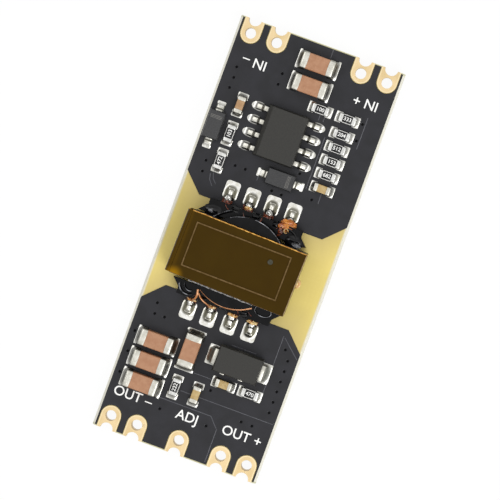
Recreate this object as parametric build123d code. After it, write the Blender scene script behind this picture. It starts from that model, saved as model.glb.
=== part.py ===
from build123d import *
import math
import os

# Isolated step-down converter module: a bare circuit board with castellated
# terminals, surface mounted parts and a wound transformer across its
# isolation gap. Millimetres, +Z up. The origin is on the underside, at the
# middle of the board. +Y runs towards the input end.

# Board layers
laminate_thickness = 1.5
skin_thickness = 0.05
plating_thickness = 0.05
mask_clearance = 0.05
score_margin = 0.22
score_depth = 0.5
end_margin = 0.1

# Castellated terminals
terminal_pitch = 2.54
terminal_hole_radius = 0.5
terminal_notch_radius = 0.6
terminal_land_radius = 0.915
terminal_inset = 1.32
terminal_side_margin = 1.36

# Multilayer ceramic capacitors, large size
large_length = 3.2
large_width = 1.6
large_height = 1.5
large_band = 0.6
large_land_reach = 0.38
large_land_side = 0.1
large_solder_height = 0.6

# Small chips: resistors and small capacitors
small_length = 1.6
small_width = 0.8
small_capacitor_height = 0.8
small_band = 0.35
small_land_reach = 0.35
small_land_side = 0.1
small_capacitor_solder_height = 0.42
resistor_height = 0.45
resistor_overcoat = 0.06
resistor_solder_height = 0.28
band_thickness = 0.04
edge_chamfer = 0.07
fillet_hollow = 0.3

# Eight lead controller
controller_length = 4.9
controller_width = 3.9
controller_height = 1.45
controller_standoff = 0.1
controller_pitch = 1.27
controller_lead_span = 6.0
controller_lead_width = 0.42
controller_lead_thickness = 0.2
controller_foot = 0.55
controller_land_reach = 0.55
controller_land_length = 1.45
controller_land_width = 0.8
controller_bevel = 0.3
controller_parting_share = 0.45

# Shapes that the moulded packages and their leads share
mould_draft = 8.0
lead_anchor = 0.3
lead_knee_share = 0.45
lead_slope_share = 0.4

# Small flat lead diodes
signal_diode_length = 2.7
signal_diode_width = 1.6
signal_diode_height = 1.1
signal_diode_standoff = 0.05
signal_diode_lead_span = 3.7
signal_diode_lead_width = 0.55
signal_diode_lead_thickness = 0.15
signal_diode_lead_rise = 0.4
signal_diode_foot = 0.32
signal_diode_land_reach = 0.4
signal_diode_land_length = 1.0
signal_diode_land_width = 0.75

# Output rectifier
rectifier_length = 4.3
rectifier_width = 2.6
rectifier_height = 2.1
rectifier_standoff = 0.15
rectifier_lead_width = 1.45
rectifier_lead_thickness = 0.2
rectifier_lead_gap = 0.2
rectifier_lead_corner = 0.12
rectifier_parting_share = 0.5
rectifier_foot = 1.0
rectifier_land_reach = 0.5
rectifier_solder_height = 0.6

# Transformer core
core_length = 11.0
core_width = 6.0
core_half_height = 2.5
core_back = 0.9
core_post_radius = 2.1
core_window_radius = 4.4
core_lift = 0.5
core_twist = -1.5

# Transformer coil former
former_post_clearance = 0.1
former_wall = 0.35
former_edge_clearance = 0.2
former_end_clearance = 0.05
flange_thickness = 0.4
rail_clearance = 0.11
rail_depth = 1.35
rail_inner_length = 10.5
rail_outer_length = 9.0
rail_shoulder_depth = 0.75
rail_lift = 0.1
rail_slot_width = 0.7
rail_slot_depth = 0.5

# Transformer windings
winding_gap = 0.02
primary_build = 0.5
interlayer_build = 0.1
secondary_build = 0.55
outer_tape_build = 0.08
wire_diameter = 0.25
lead_out_start = -125
lead_out_sweep = 70

# Transformer pins
pin_pitch = 2.0
pin_count_per_side = 4
pin_width = 0.6
pin_thickness = 0.28
pin_height = 0.75
pin_root = 0.45
pin_foot = 0.55
pin_land_gap = 0.4
pin_land_length = 1.7
pin_land_width = 1.36
pin_solder_height = 0.42
pin_anchor_share = 0.6
wrap_build = 0.22
wrap_length = 0.32
wrap_corner_share = 0.7

# Tape round the core
core_tape_thickness = 0.12
core_tape_margin = 0.04
core_tape_bulge = 0.4
glue_length = 0.95
glue_width = 0.35

# Solder round leads
lead_solder_height = 0.2
lead_solder_taper = 40.0

# Layout along the board: gaps from the transformer to each end
diode_row_gap = 0.8
controller_row_gap = 0.49
resistor_row_gap = 0.57
input_capacitor_gap = 0.26
input_capacitor_spacing = 0.33
input_end_gap = 1.0
output_capacitor_gap = 0.56
output_chip_gap = 0.52
output_end_gap = 4.704
transformer_offset_x = -0.32

# Layout across the board at the controller, from the left edge
left_edge_gap = 0.3
left_diode_gap = 0.32
left_chip_gap = 0.49
right_chip_gap = 0.455
right_edge_gap = 2.435

# Layout inside the columns and the output corner
left_column_start_gap = 0.19
left_column_gaps = [0.33, 0.47]
left_diode_shift = 0.28
right_column_gaps = [0.53, 0.315, 0.315, 0.315, 0.3]
input_capacitor_offset_x = 0.16
input_resistor_gap = 0.34
diode_row_offset_x = 1.28
output_column_margin = 0.99
output_column_drop = 1.9
output_column_spacing = 0.23
output_column_side_gap = 0.32
rectifier_side_gap = 0.66
rectifier_drop = 0.89
rectifier_chip_gap = 0.45
upright_resistor_shift = 0.17
chip_pair_gap = 1.02
chip_line_gap = 0.25
lone_chip_gap = 0.45

# Bare isolation gap between the two halves of the solder mask
input_mask_gap = 0.54
output_mask_gap = 0.61
isolation_chamfer = 1.78

# Heights through the board
laminate_bottom = skin_thickness
laminate_top = laminate_bottom + laminate_thickness
surface = laminate_top + skin_thickness

# Overall sizes of the land patterns
large_land_span = large_length + 2 * large_land_reach
large_land_width = large_width + 2 * large_land_side
small_land_span = small_length + 2 * small_land_reach
small_land_width = small_width + 2 * small_land_side
controller_land_span = controller_lead_span + 2 * controller_land_reach
signal_diode_land_span = signal_diode_lead_span + 2 * signal_diode_land_reach
rectifier_lead_span = rectifier_length + 2 * (rectifier_lead_gap + rectifier_lead_thickness)
rectifier_land_span = rectifier_lead_span + 2 * rectifier_land_reach

# Transformer reach, from its centre outwards
core_turned_reach = (
    core_length / 2 * math.sin(math.radians(abs(core_twist)))
    + core_width / 2 * math.cos(math.radians(core_twist))
)
rail_inner = core_turned_reach + rail_clearance
rail_outer = rail_inner + rail_depth
pin_land_inner = rail_outer + pin_land_gap
pin_land_outer = pin_land_inner + pin_land_length

# Board outline, worked out from what it carries
input_reach = (
    pin_land_outer
    + diode_row_gap + signal_diode_width
    + controller_row_gap + controller_length
    + resistor_row_gap + small_land_width
    + input_capacitor_gap + large_land_width
    + input_capacitor_spacing + large_land_width
    + input_end_gap
)
output_reach = (
    pin_land_outer
    + output_capacitor_gap + large_land_span
    + output_chip_gap + small_land_span
    + output_end_gap
)
board_length = input_reach + output_reach
board_width = (
    left_edge_gap + signal_diode_width
    + left_diode_gap + small_land_width
    + left_chip_gap + controller_land_span
    + right_chip_gap + small_land_span
    + right_edge_gap
)
input_end = board_length / 2
left_edge = -board_width / 2
right_edge = board_width / 2
mask_half_width = board_width / 2 - score_margin
terminal_web_half = max(terminal_hole_radius, terminal_notch_radius) + plating_thickness
terminal_opening_radius = terminal_land_radius + mask_clearance

# Places on the input side
transformer_x = transformer_offset_x
transformer_y = input_end - input_reach
primary_land_end = transformer_y + pin_land_outer
secondary_land_end = transformer_y - pin_land_outer
diode_row_y = primary_land_end + diode_row_gap + signal_diode_width / 2
controller_y = (
    diode_row_y + signal_diode_width / 2 + controller_row_gap + controller_length / 2
)
left_chip_x = left_edge + left_edge_gap + signal_diode_width + left_diode_gap + small_land_width / 2
controller_x = left_chip_x + small_land_width / 2 + left_chip_gap + controller_land_span / 2
left_diode_x = left_edge + left_edge_gap + signal_diode_width / 2
right_column_x = controller_x + controller_land_span / 2 + right_chip_gap + small_land_span / 2
diode_row_x = controller_x + diode_row_offset_x
resistor_row_y = controller_y + controller_length / 2 + resistor_row_gap + small_land_width / 2
input_resistor_x = right_column_x - small_land_span - input_resistor_gap
inner_input_capacitor_y = (
    resistor_row_y + small_land_width / 2 + input_capacitor_gap + large_land_width / 2
)
outer_input_capacitor_y = inner_input_capacitor_y + large_land_width + input_capacitor_spacing

left_chip_y = [primary_land_end + left_column_start_gap + small_land_span / 2]
for gap in left_column_gaps:
    left_chip_y.append(left_chip_y[-1] + small_land_span + gap)
left_diode_y = left_chip_y[1] + left_diode_shift

right_chip_y = [resistor_row_y]
for gap in right_column_gaps:
    right_chip_y.append(right_chip_y[-1] - small_land_width - gap)

# Places on the output side
output_column_x = left_edge + output_column_margin + large_land_span / 2
output_column_y = [secondary_land_end - output_column_drop - large_land_width / 2]
for step in range(2):
    output_column_y.append(output_column_y[-1] - large_land_width - output_column_spacing)
upright_capacitor_x = (
    output_column_x + large_land_span / 2 + output_column_side_gap + large_land_width / 2
)
upright_capacitor_y = secondary_land_end - output_capacitor_gap - large_land_span / 2
rectifier_x = (
    upright_capacitor_x + large_land_width / 2 + rectifier_side_gap + rectifier_land_span / 2
)
rectifier_y = secondary_land_end - rectifier_drop - rectifier_width / 2
upright_chip_y = upright_capacitor_y - large_land_span / 2 - output_chip_gap - small_land_span / 2
upright_resistor_x = upright_capacitor_x - upright_resistor_shift
upright_chip_x = upright_resistor_x + small_land_width + chip_pair_gap
lying_chip_y = rectifier_y - rectifier_width / 2 - rectifier_chip_gap - small_land_width / 2
lying_chip_x = upright_chip_x + small_land_width / 2 + lone_chip_gap + small_land_span / 2
lying_resistor_x = lying_chip_x + small_land_span + chip_line_gap

# Each chip: node name, x, y and turn in degrees
large_capacitors = [
    ("input_capacitor_1", input_capacitor_offset_x, outer_input_capacitor_y, 0),
    ("input_capacitor_2", input_capacitor_offset_x, inner_input_capacitor_y, 0),
    ("output_capacitor_1", output_column_x, output_column_y[0], 0),
    ("output_capacitor_2", output_column_x, output_column_y[1], 0),
    ("output_capacitor_3", output_column_x, output_column_y[2], 0),
    ("output_capacitor_4", upright_capacitor_x, upright_capacitor_y, 90),
]
small_capacitors = [
    ("supply_capacitor", left_chip_x, left_chip_y[2], 90),
    ("compensation_capacitor", right_column_x, right_chip_y[5], 0),
    ("feedback_capacitor", upright_chip_x, upright_chip_y, 90),
    ("snubber_capacitor", lying_chip_x, lying_chip_y, 0),
]
resistors = [
    ("start_up_resistor", left_chip_x, left_chip_y[1], 90),
    ("damping_resistor", left_chip_x, left_chip_y[0], 90),
    ("input_resistor", input_resistor_x, resistor_row_y, 0),
    ("enable_resistor", right_column_x, right_chip_y[0], 0),
    ("frequency_resistor", right_column_x, right_chip_y[1], 0),
    ("reference_resistor", right_column_x, right_chip_y[2], 0),
    ("feedback_resistor", right_column_x, right_chip_y[3], 0),
    ("compensation_resistor", right_column_x, right_chip_y[4], 0),
    ("adjust_resistor", upright_resistor_x, upright_chip_y, 90),
    ("snubber_resistor", lying_resistor_x, lying_chip_y, 0),
]
signal_diodes = [
    ("clamp_diode", left_diode_x, left_diode_y, 90),
    ("supply_diode", diode_row_x, diode_row_y, 0),
]

# Terminals, as x positions at each end
outer_terminal_x = right_edge - terminal_side_margin
inner_terminal_x = outer_terminal_x - terminal_pitch
input_terminal_x = [-outer_terminal_x, -inner_terminal_x, inner_terminal_x, outer_terminal_x]
output_terminal_x = [
    -outer_terminal_x, -inner_terminal_x, 0, inner_terminal_x, outer_terminal_x
]
terminal_places = [(x, 1) for x in input_terminal_x] + [(x, -1) for x in output_terminal_x]


def block(x_size, y_size, z_low, z_high):
    """A box centred on X and Y, between two heights."""
    return Pos(0, 0, (z_low + z_high) / 2) * Box(x_size, y_size, z_high - z_low)


def rod(radius, z_low, z_high):
    """An upright cylinder between two heights."""
    return Pos(0, 0, (z_low + z_high) / 2) * Cylinder(radius, z_high - z_low)


def place(x, y, turn=0):
    """The location of a part on the board."""
    return Pos(x, y) * Rot(0, 0, turn)


def write(name, pieces):
    """Write one node from the solids that make it up."""
    solids = []
    for piece in pieces:
        solids.extend(piece.solids())
    export_step(Compound(label=name, children=solids), f"parts/{name}.step")


def terminal_outline(x, end, radius):
    """A terminal shape: round inside, running straight out to the board's end."""
    hole_y = end * (input_end - terminal_inset)
    strip = Pos(x, hole_y + end * terminal_inset / 2) * Rectangle(2 * radius, terminal_inset)
    return strip + Pos(x, hole_y) * Circle(radius)


def terminal_drill(x, end):
    """The hole and the edge notch of a terminal, through the whole board."""
    hole = Pos(x, end * (input_end - terminal_inset)) * rod(terminal_hole_radius, 0, surface)
    notch = Pos(x, end * input_end) * rod(terminal_notch_radius, 0, surface)
    return hole + notch


def terminal_web(x, end):
    """The metal inside the laminate: the plating and the web between hole and notch."""
    reach = terminal_inset + terminal_web_half
    return Pos(x, end * (input_end - reach / 2)) * block(2 * terminal_web_half, reach, 0, surface)


def circuit_board():
    """Glass laminate with scored long edges and drilled, notched ends."""
    half = board_width / 2
    inset = half - score_margin
    section = Plane.XZ * make_face(Polyline(
        (-inset, laminate_bottom), (inset, laminate_bottom),
        (half, laminate_bottom + score_depth), (half, laminate_top - score_depth),
        (inset, laminate_top), (-inset, laminate_top),
        (-half, laminate_top - score_depth), (-half, laminate_bottom + score_depth),
        close=True,
    ))
    board = extrude(section, board_length / 2, both=True)
    for x, end in terminal_places:
        board -= terminal_web(x, end)
    return board


def mask_outlines():
    """The two printed halves of the mask, with the bare band between them."""
    band_top = transformer_y + pin_land_inner - input_mask_gap
    band_bottom = transformer_y - pin_land_inner + output_mask_gap
    halves = []
    for end, band in ((1, band_top), (-1, band_bottom)):
        edge = end * (input_end - end_margin)
        corner = band + end * isolation_chamfer
        halves.append(make_face(Polyline(
            (-mask_half_width, edge), (mask_half_width, edge), (mask_half_width, corner),
            (mask_half_width - isolation_chamfer, band),
            (isolation_chamfer - mask_half_width, band), (-mask_half_width, corner),
            close=True,
        )))
    return halves


def solder_mask(height):
    """Mask on one face of the board, open round the terminals."""
    pieces = []
    for outline in mask_outlines():
        outline = Sketch() + outline
        outline -= [terminal_outline(x, end, terminal_opening_radius) for x, end in terminal_places]
        pieces.append(Pos(0, 0, height) * extrude(outline, skin_thickness))
    return pieces


def terminal(x, end):
    """A plated terminal: a land on each face, joined round its hole and notch."""
    land = extrude(terminal_outline(x, end, terminal_land_radius), skin_thickness)
    metal = land + Pos(0, 0, laminate_top) * land + terminal_web(x, end)
    return metal - terminal_drill(x, end)


def chip_ends(length, width, height, band, wraps_sides):
    """The two metal end caps of a chip, standing on the board's lands."""
    caps = []
    inner_width = width - 2 * band_thickness if wraps_sides else width * 2
    hollow = block(
        length - 2 * band_thickness, inner_width,
        surface + band_thickness, surface + height - band_thickness,
    )
    for side in (-1, 1):
        cap = Pos(side * (length - band) / 2, 0) * block(band, width, surface, surface + height)
        if wraps_sides:
            outer = cap.faces().sort_by(Axis.X)[-1 if side > 0 else 0]
            cap = chamfer(outer.edges(), edge_chamfer)
        caps.append(cap - hollow)
    return caps


def capacitor_body(length, width, height):
    """The fired ceramic block between and inside the end caps."""
    return block(
        length - 2 * band_thickness, width - 2 * band_thickness,
        surface + band_thickness, surface + height - band_thickness,
    )


def resistor_body():
    """The alumina plate of a chip resistor."""
    return block(
        small_length - 2 * band_thickness, small_width,
        surface + band_thickness, surface + resistor_height - band_thickness,
    )


def resistor_cover():
    """The dark glass over the resistive film, between the end caps."""
    low = surface + resistor_height - band_thickness
    return block(small_length - 2 * small_band, small_width, low, low + resistor_overcoat)


def chip_fillets(length, reach, width, height):
    """Concave solder fillets from the lands up a chip's two end faces."""
    profile = make_face(Polyline(
        (0, 0), (reach, 0), (reach * fillet_hollow, height * fillet_hollow), (0, height),
        close=True,
    ))
    wedge = extrude(Plane.XZ * profile, width / 2, both=True)
    right = Pos(length / 2, 0, surface) * wedge
    return [right, Rot(0, 0, 180) * right]


def gull_lead(body_face, tip, exit_height, thickness, width, foot, anchor):
    """A formed lead along +X, from inside the body down to a flat foot."""
    low = surface
    high = surface + exit_height - thickness / 2
    knee = tip - foot
    shoulder = body_face + (knee - body_face) * lead_knee_share
    slope = thickness * lead_slope_share
    profile = make_face(Polyline(
        (body_face - anchor, high), (shoulder - slope, high), (knee - slope, low), (tip, low),
        (tip, low + thickness), (knee + slope, low + thickness),
        (shoulder + slope, high + thickness), (body_face - anchor, high + thickness),
        close=True,
    ))
    return extrude(Plane.XZ * profile, width / 2, both=True)


def moulded_body(length, width, height, standoff, parting):
    """A moulded package, tapering up and down from its parting line."""
    outline = Rectangle(length, width)
    upper = extrude(outline, standoff + height - parting, taper=mould_draft)
    lower = extrude(outline, standoff - parting, taper=mould_draft)
    return Pos(0, 0, surface + parting) * (upper + lower)


def soldered(outline, height, taper, lead):
    """Solder drawn up round a lead from its land, with the lead cut away."""
    mound = Pos(0, 0, surface) * extrude(outline, height, taper=taper)
    return mound - lead


def controller():
    """Controller package: bevelled body, eight leads and their solder."""
    middle = controller_standoff + controller_height * controller_parting_share
    body = moulded_body(
        controller_width, controller_length, controller_height, controller_standoff, middle
    )
    bevel_edge = body.edges().group_by(Axis.Z)[-1].sort_by(Axis.X)[0]
    body = chamfer(bevel_edge, controller_bevel)
    leads = []
    solder = []
    for row in range(4):
        y = (row - 1.5) * controller_pitch
        for turn in (0, 180):
            lead = gull_lead(
                controller_width / 2, controller_lead_span / 2, middle,
                controller_lead_thickness, controller_lead_width, controller_foot, lead_anchor,
            )
            land_x = (controller_land_span - controller_land_length) / 2
            mound = soldered(
                Pos(land_x, 0) * Rectangle(controller_land_length, controller_land_width),
                lead_solder_height, lead_solder_taper, lead,
            )
            spot = place(0, y, turn)
            leads.append(spot * lead)
            solder.append(spot * mound)
    body -= leads
    spot = place(controller_x, controller_y)
    return spot * body, [spot * lead for lead in leads], [spot * mound for mound in solder]


def signal_diode():
    """Small diode: body, two flat leads and their solder, along X."""
    exit_height = signal_diode_standoff + signal_diode_lead_rise
    body = moulded_body(
        signal_diode_length, signal_diode_width, signal_diode_height,
        signal_diode_standoff, exit_height,
    )
    lead = gull_lead(
        signal_diode_length / 2, signal_diode_lead_span / 2, exit_height,
        signal_diode_lead_thickness, signal_diode_lead_width, signal_diode_foot, lead_anchor,
    )
    land_x = (signal_diode_land_span - signal_diode_land_length) / 2
    mound = soldered(
        Pos(land_x, 0) * Rectangle(signal_diode_land_length, signal_diode_land_width),
        lead_solder_height, lead_solder_taper, lead,
    )
    turned = Rot(0, 0, 180)
    leads = [lead, turned * lead]
    body -= leads
    mound -= body
    return body, leads, [mound, turned * mound]


def rectifier():
    """Output rectifier: body and two leads folded under it."""
    parting = rectifier_standoff + rectifier_height * rectifier_parting_share
    body = moulded_body(
        rectifier_length, rectifier_width, rectifier_height, rectifier_standoff, parting
    )
    outer = rectifier_lead_span / 2
    inner = outer - rectifier_lead_thickness
    anchored = rectifier_length / 2 - lead_anchor
    high = surface + parting + rectifier_lead_thickness / 2
    corner = rectifier_lead_corner
    profile = make_face(Polyline(
        (anchored, high), (outer - corner, high), (outer, high - corner),
        (outer, surface + corner), (outer - corner, surface),
        (outer - rectifier_foot, surface), (outer - rectifier_foot, surface + rectifier_lead_thickness),
        (inner, surface + rectifier_lead_thickness), (inner, high - rectifier_lead_thickness),
        (anchored, high - rectifier_lead_thickness),
        close=True,
    ))
    strap = extrude(Plane.XZ * profile, rectifier_lead_width / 2, both=True)
    leads = [strap, Rot(0, 0, 180) * strap]
    body -= leads
    fillets = chip_fillets(
        rectifier_lead_span, rectifier_land_reach, rectifier_lead_width, rectifier_solder_height
    )
    solder = [fillet - strap for fillet, strap in zip(fillets, leads)]
    spot = place(rectifier_x, rectifier_y)
    return spot * body, [spot * lead for lead in leads], [spot * piece for piece in solder]


# Transformer heights above the underside of the board
core_bottom = surface + core_lift
core_middle = core_bottom + core_half_height
core_top = core_middle + core_half_height
window_bottom = core_bottom + core_back
window_top = core_top - core_back
former_bottom = window_bottom + former_end_clearance
former_top = window_top - former_end_clearance
lower_flange_top = former_bottom + flange_thickness
upper_flange_bottom = former_top - flange_thickness
former_bore = core_post_radius + former_post_clearance
former_outer = former_bore + former_wall
flange_radius = core_window_radius - former_edge_clearance
primary_outer = former_outer + primary_build
interlayer_outer = primary_outer + interlayer_build
secondary_outer = interlayer_outer + secondary_build
coil_outer = secondary_outer + outer_tape_build
pin_places = [(index - (pin_count_per_side - 1) / 2) * pin_pitch for index in range(pin_count_per_side)]
core_spot = Pos(transformer_x, transformer_y) * Rot(0, 0, core_twist)
coil_spot = Pos(transformer_x, transformer_y)


def core_half():
    """Lower ferrite half: back plate, round post and two curved outer legs."""
    half = block(core_length, core_width, core_bottom, core_middle)
    half -= rod(core_window_radius, window_bottom, core_middle)
    return half + rod(core_post_radius, window_bottom - core_back / 2, core_middle)


def transformer_pin():
    """One pin along +X: anchored in the rail, out, down and along its land."""
    tip = rail_outer + pin_root + pin_thickness * 2 + pin_foot
    return gull_lead(
        rail_outer, tip, pin_height, pin_thickness, pin_width, pin_foot, rail_depth * pin_anchor_share
    )


def pin_spots():
    """Places of the pins, first the primary side and then the secondary."""
    return [
        [coil_spot * Rot(0, 0, turn) * Pos(0, across) for across in pin_places]
        for turn in (90, -90)
    ]


def coil_former(pins):
    """Moulded former: round tube, two flanges and two pin rails."""
    former = rod(flange_radius, former_bottom, lower_flange_top)
    former += rod(flange_radius, upper_flange_bottom, former_top)
    former += rod(former_outer, former_bottom, former_top)
    former -= rod(former_bore, former_bottom, former_top)
    rail_outline = make_face(Polyline(
        (-rail_inner_length / 2, rail_inner), (rail_inner_length / 2, rail_inner),
        (rail_outer_length / 2, rail_inner + rail_shoulder_depth),
        (rail_outer_length / 2, rail_outer), (-rail_outer_length / 2, rail_outer),
        (-rail_outer_length / 2, rail_inner + rail_shoulder_depth),
        close=True,
    ))
    rail = extrude(rail_outline, lower_flange_top - surface - rail_lift)
    rail = Pos(0, 0, surface + rail_lift) * rail
    for index in range(pin_count_per_side - 1):
        x = pin_places[index] + pin_pitch / 2
        rail -= Pos(x, rail_outer) * block(
            rail_slot_width, 2 * rail_slot_depth, surface + rail_lift, lower_flange_top
        )
    former += rail
    former += Rot(0, 0, 180) * rail
    former = coil_spot * former
    return former - pins


def ring(inner, outer):
    """One wound layer between the flanges."""
    low = lower_flange_top + winding_gap
    high = upper_flange_bottom - winding_gap
    return coil_spot * (rod(outer, low, high) - rod(inner, low, high))


def core_tape():
    """Two turns of tape round the core's ends, standing off its left end."""
    half = core_length / 2
    tape = core_tape_thickness
    width = core_width - 2 * core_tape_margin
    middle_z = (core_bottom + core_top) / 2
    bulge = half + core_tape_bulge

    def loop(grow):
        return make_face(
            Line((-half, core_top + grow), (half + grow, core_top + grow))
            + Line((half + grow, core_top + grow), (half + grow, core_bottom - grow))
            + Line((half + grow, core_bottom - grow), (-half, core_bottom - grow))
            + ThreePointArc(
                (-half, core_bottom - grow), (-bulge - grow, middle_z), (-half, core_top + grow)
            )
        )

    outer = extrude(Plane.XZ * loop(tape), width / 2, both=True)
    inner = extrude(Plane.XZ * loop(0), width, both=True)
    return core_spot * (outer - inner)


def glue_bead():
    """A drop of fixing resin on the tape's right end."""
    face = core_length / 2 + core_tape_thickness
    half = glue_length / 2
    outline = make_face(
        ThreePointArc((face, -half), (face + glue_width, 0), (face, half))
        + Line((face, half), (face, -half))
    )
    bead = Pos(0, 0, core_middle - glue_length) * extrude(outline, 2 * glue_length)
    return core_spot * bead


def winding_ends(spots, pins):
    """Wire wrapped round each pin beside the rail."""
    wraps = []
    for side, row in enumerate(spots):
        for index, spot in enumerate(row):
            turns = Box(wrap_length, pin_width + 2 * wrap_build, pin_thickness + 2 * wrap_build)
            turns = chamfer(turns.edges().filter_by(Axis.X), wrap_build * wrap_corner_share)
            wrap = Pos(rail_outer + wrap_length / 2, 0, surface + pin_height) * turns
            wraps.append(spot * wrap - pins[side][index])
    return wraps


def lead_out_wire():
    """The free arc of wire laid over the secondary rail to its pin."""
    radius = flange_radius + wire_diameter / 2
    height = lower_flange_top + wire_diameter / 2
    path = CenterArc((0, 0, height), radius, lead_out_start, lead_out_sweep)
    section = Plane(origin=path @ 0, z_dir=path % 0) * RegularPolygon(wire_diameter / 2, 6)
    return coil_spot * sweep(section, path)


def main():
    os.makedirs("parts", exist_ok=True)

    write("circuit_board", [circuit_board()])
    write("top_solder_mask", solder_mask(laminate_top))
    write("bottom_solder_mask", solder_mask(0))
    write("input_terminals", [terminal(x, 1) for x in input_terminal_x])
    write("output_terminals", [terminal(x, -1) for x in output_terminal_x])

    input_ends = []
    output_ends = []
    capacitor_solder = []
    for name, x, y, turn in large_capacitors:
        spot = place(x, y, turn)
        write(name, [spot * capacitor_body(large_length, large_width, large_height)])
        ends = [spot * cap for cap in chip_ends(large_length, large_width, large_height, large_band, True)]
        if name.startswith("input"):
            input_ends += ends
        else:
            output_ends += ends
        capacitor_solder += [spot * piece for piece in chip_fillets(
            large_length, large_land_reach, large_width, large_solder_height
        )]
    write("input_capacitor_ends", input_ends)
    write("output_capacitor_ends", output_ends)

    small_ends = []
    for name, x, y, turn in small_capacitors:
        spot = place(x, y, turn)
        write(name, [spot * capacitor_body(small_length, small_width, small_capacitor_height)])
        small_ends += [spot * cap for cap in chip_ends(
            small_length, small_width, small_capacitor_height, small_band, True
        )]
        capacitor_solder += [spot * piece for piece in chip_fillets(
            small_length, small_land_reach, small_width, small_capacitor_solder_height
        )]
    write("small_capacitor_ends", small_ends)
    write("capacitor_solder", capacitor_solder)

    resistor_ends = []
    resistor_covers = []
    resistor_solder = []
    for name, x, y, turn in resistors:
        spot = place(x, y, turn)
        write(name, [spot * resistor_body()])
        resistor_covers.append(spot * resistor_cover())
        resistor_ends += [spot * cap for cap in chip_ends(
            small_length, small_width, resistor_height, small_band, False
        )]
        resistor_solder += [spot * piece for piece in chip_fillets(
            small_length, small_land_reach, small_width, resistor_solder_height
        )]
    write("resistor_ends", resistor_ends)
    write("resistor_covers", resistor_covers)
    write("resistor_solder", resistor_solder)

    body, leads, controller_solder = controller()
    write("controller_body", [body])
    write("controller_leads", leads)
    write("controller_solder", controller_solder)

    diode_solder = []
    for name, x, y, turn in signal_diodes:
        spot = place(x, y, turn)
        body, leads, solder = signal_diode()
        write(name + "_body", [spot * body])
        write(name + "_leads", [spot * lead for lead in leads])
        diode_solder += [spot * piece for piece in solder]
    body, leads, solder = rectifier()
    write("rectifier_body", [body])
    write("rectifier_leads", leads)
    write("diode_solder", diode_solder + solder)

    lower = core_half()
    upper = mirror(lower, about=Plane.XY.offset(core_middle))
    write("lower_core_half", [core_spot * lower])
    write("upper_core_half", [core_spot * upper])
    spots = pin_spots()
    pins = [[spot * transformer_pin() for spot in row] for row in spots]
    write("primary_pins", pins[0])
    write("secondary_pins", pins[1])
    write("coil_former", [coil_former(pins[0] + pins[1])])
    write("primary_winding", [ring(former_outer, primary_outer)])
    write("interlayer_tape", [ring(primary_outer, interlayer_outer)])
    write("secondary_winding", [ring(interlayer_outer, secondary_outer)])
    write("coil_tape", [ring(secondary_outer, coil_outer)])
    write("core_tape", [core_tape()])
    write("glue_bead", [glue_bead()])
    write("winding_ends", winding_ends(spots, pins))
    write("lead_out_wire", [lead_out_wire()])
    pin_solder = []
    pin_outline = Pos((pin_land_inner + pin_land_outer) / 2, 0) * Rectangle(
        pin_land_length, pin_land_width
    )
    mound = soldered(pin_outline, pin_solder_height, lead_solder_taper, transformer_pin())
    for row in spots:
        pin_solder += [spot * mound for spot in row]
    write("transformer_solder", pin_solder)

    print(f"board {board_width:.2f} x {board_length:.2f} x {surface:.2f} mm")
    print(f"transformer centre {transformer_x:.2f}, {transformer_y:.2f}, top {core_top:.2f} mm")


main()
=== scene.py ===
# %% [markdown]
# This file dresses a small isolated step-down converter: a circuit board with gold edge terminals,
# soldered chips and a taped transformer. The solids come from the CAD model as a fixed frame, and
# each cell below adds one kind of piece or one finish to it. All places are in metres, and sizes
# are written in millimetres and turned into metres by MM.

# %% Load the frame
import math
import random

import bpy
from mathutils import Matrix, Vector, noise


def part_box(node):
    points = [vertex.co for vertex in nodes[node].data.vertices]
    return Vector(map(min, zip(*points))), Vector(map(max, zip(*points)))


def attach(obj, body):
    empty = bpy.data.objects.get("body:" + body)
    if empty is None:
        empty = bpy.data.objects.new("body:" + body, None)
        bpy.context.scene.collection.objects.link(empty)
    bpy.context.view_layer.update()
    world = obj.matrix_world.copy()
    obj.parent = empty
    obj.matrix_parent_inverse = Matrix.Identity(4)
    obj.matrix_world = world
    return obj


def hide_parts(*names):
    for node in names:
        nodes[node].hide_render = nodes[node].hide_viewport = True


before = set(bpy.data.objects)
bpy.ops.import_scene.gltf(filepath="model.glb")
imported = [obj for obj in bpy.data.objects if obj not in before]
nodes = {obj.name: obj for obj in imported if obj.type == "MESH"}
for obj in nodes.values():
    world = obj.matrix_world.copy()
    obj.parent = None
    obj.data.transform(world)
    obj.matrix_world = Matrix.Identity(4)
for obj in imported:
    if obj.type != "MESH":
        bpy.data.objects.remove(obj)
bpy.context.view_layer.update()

MM = 0.001
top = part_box("top_solder_mask")[1].z / MM
print("CAD nodes:", len(nodes), "board top at", round(top, 3), "mm")

# %% [markdown]
# Modelling by hand means selecting something and running an operator on it. An operator acts on
# all that is selected, so each helper first deselects everything and then selects one piece.


# %% Helpers: selecting and finishing a piece
def take(piece):
    """Select one piece alone and make it active."""
    bpy.ops.object.select_all(action="DESELECT")
    piece.select_set(True)
    bpy.context.view_layer.objects.active = piece
    return piece


def pick(piece, kind, test):
    """Enter edit mode with only those faces, edges or vertices selected whose place passes the test."""
    take(piece)
    bpy.ops.object.mode_set(mode="EDIT")
    bpy.ops.mesh.select_mode(type=kind)
    bpy.ops.mesh.select_all(action="DESELECT")
    bpy.ops.object.mode_set(mode="OBJECT")
    mesh = piece.data
    if kind == "VERT":
        for vertex in mesh.vertices:
            vertex.select = test(vertex.co / MM)
    elif kind == "EDGE":
        for edge in mesh.edges:
            first, second = (mesh.vertices[index].co for index in edge.vertices)
            edge.select = test((first + second) / 2 / MM)
    else:
        for face in mesh.polygons:
            face.select = test(face.center / MM)
    bpy.ops.object.mode_set(mode="EDIT")


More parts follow.
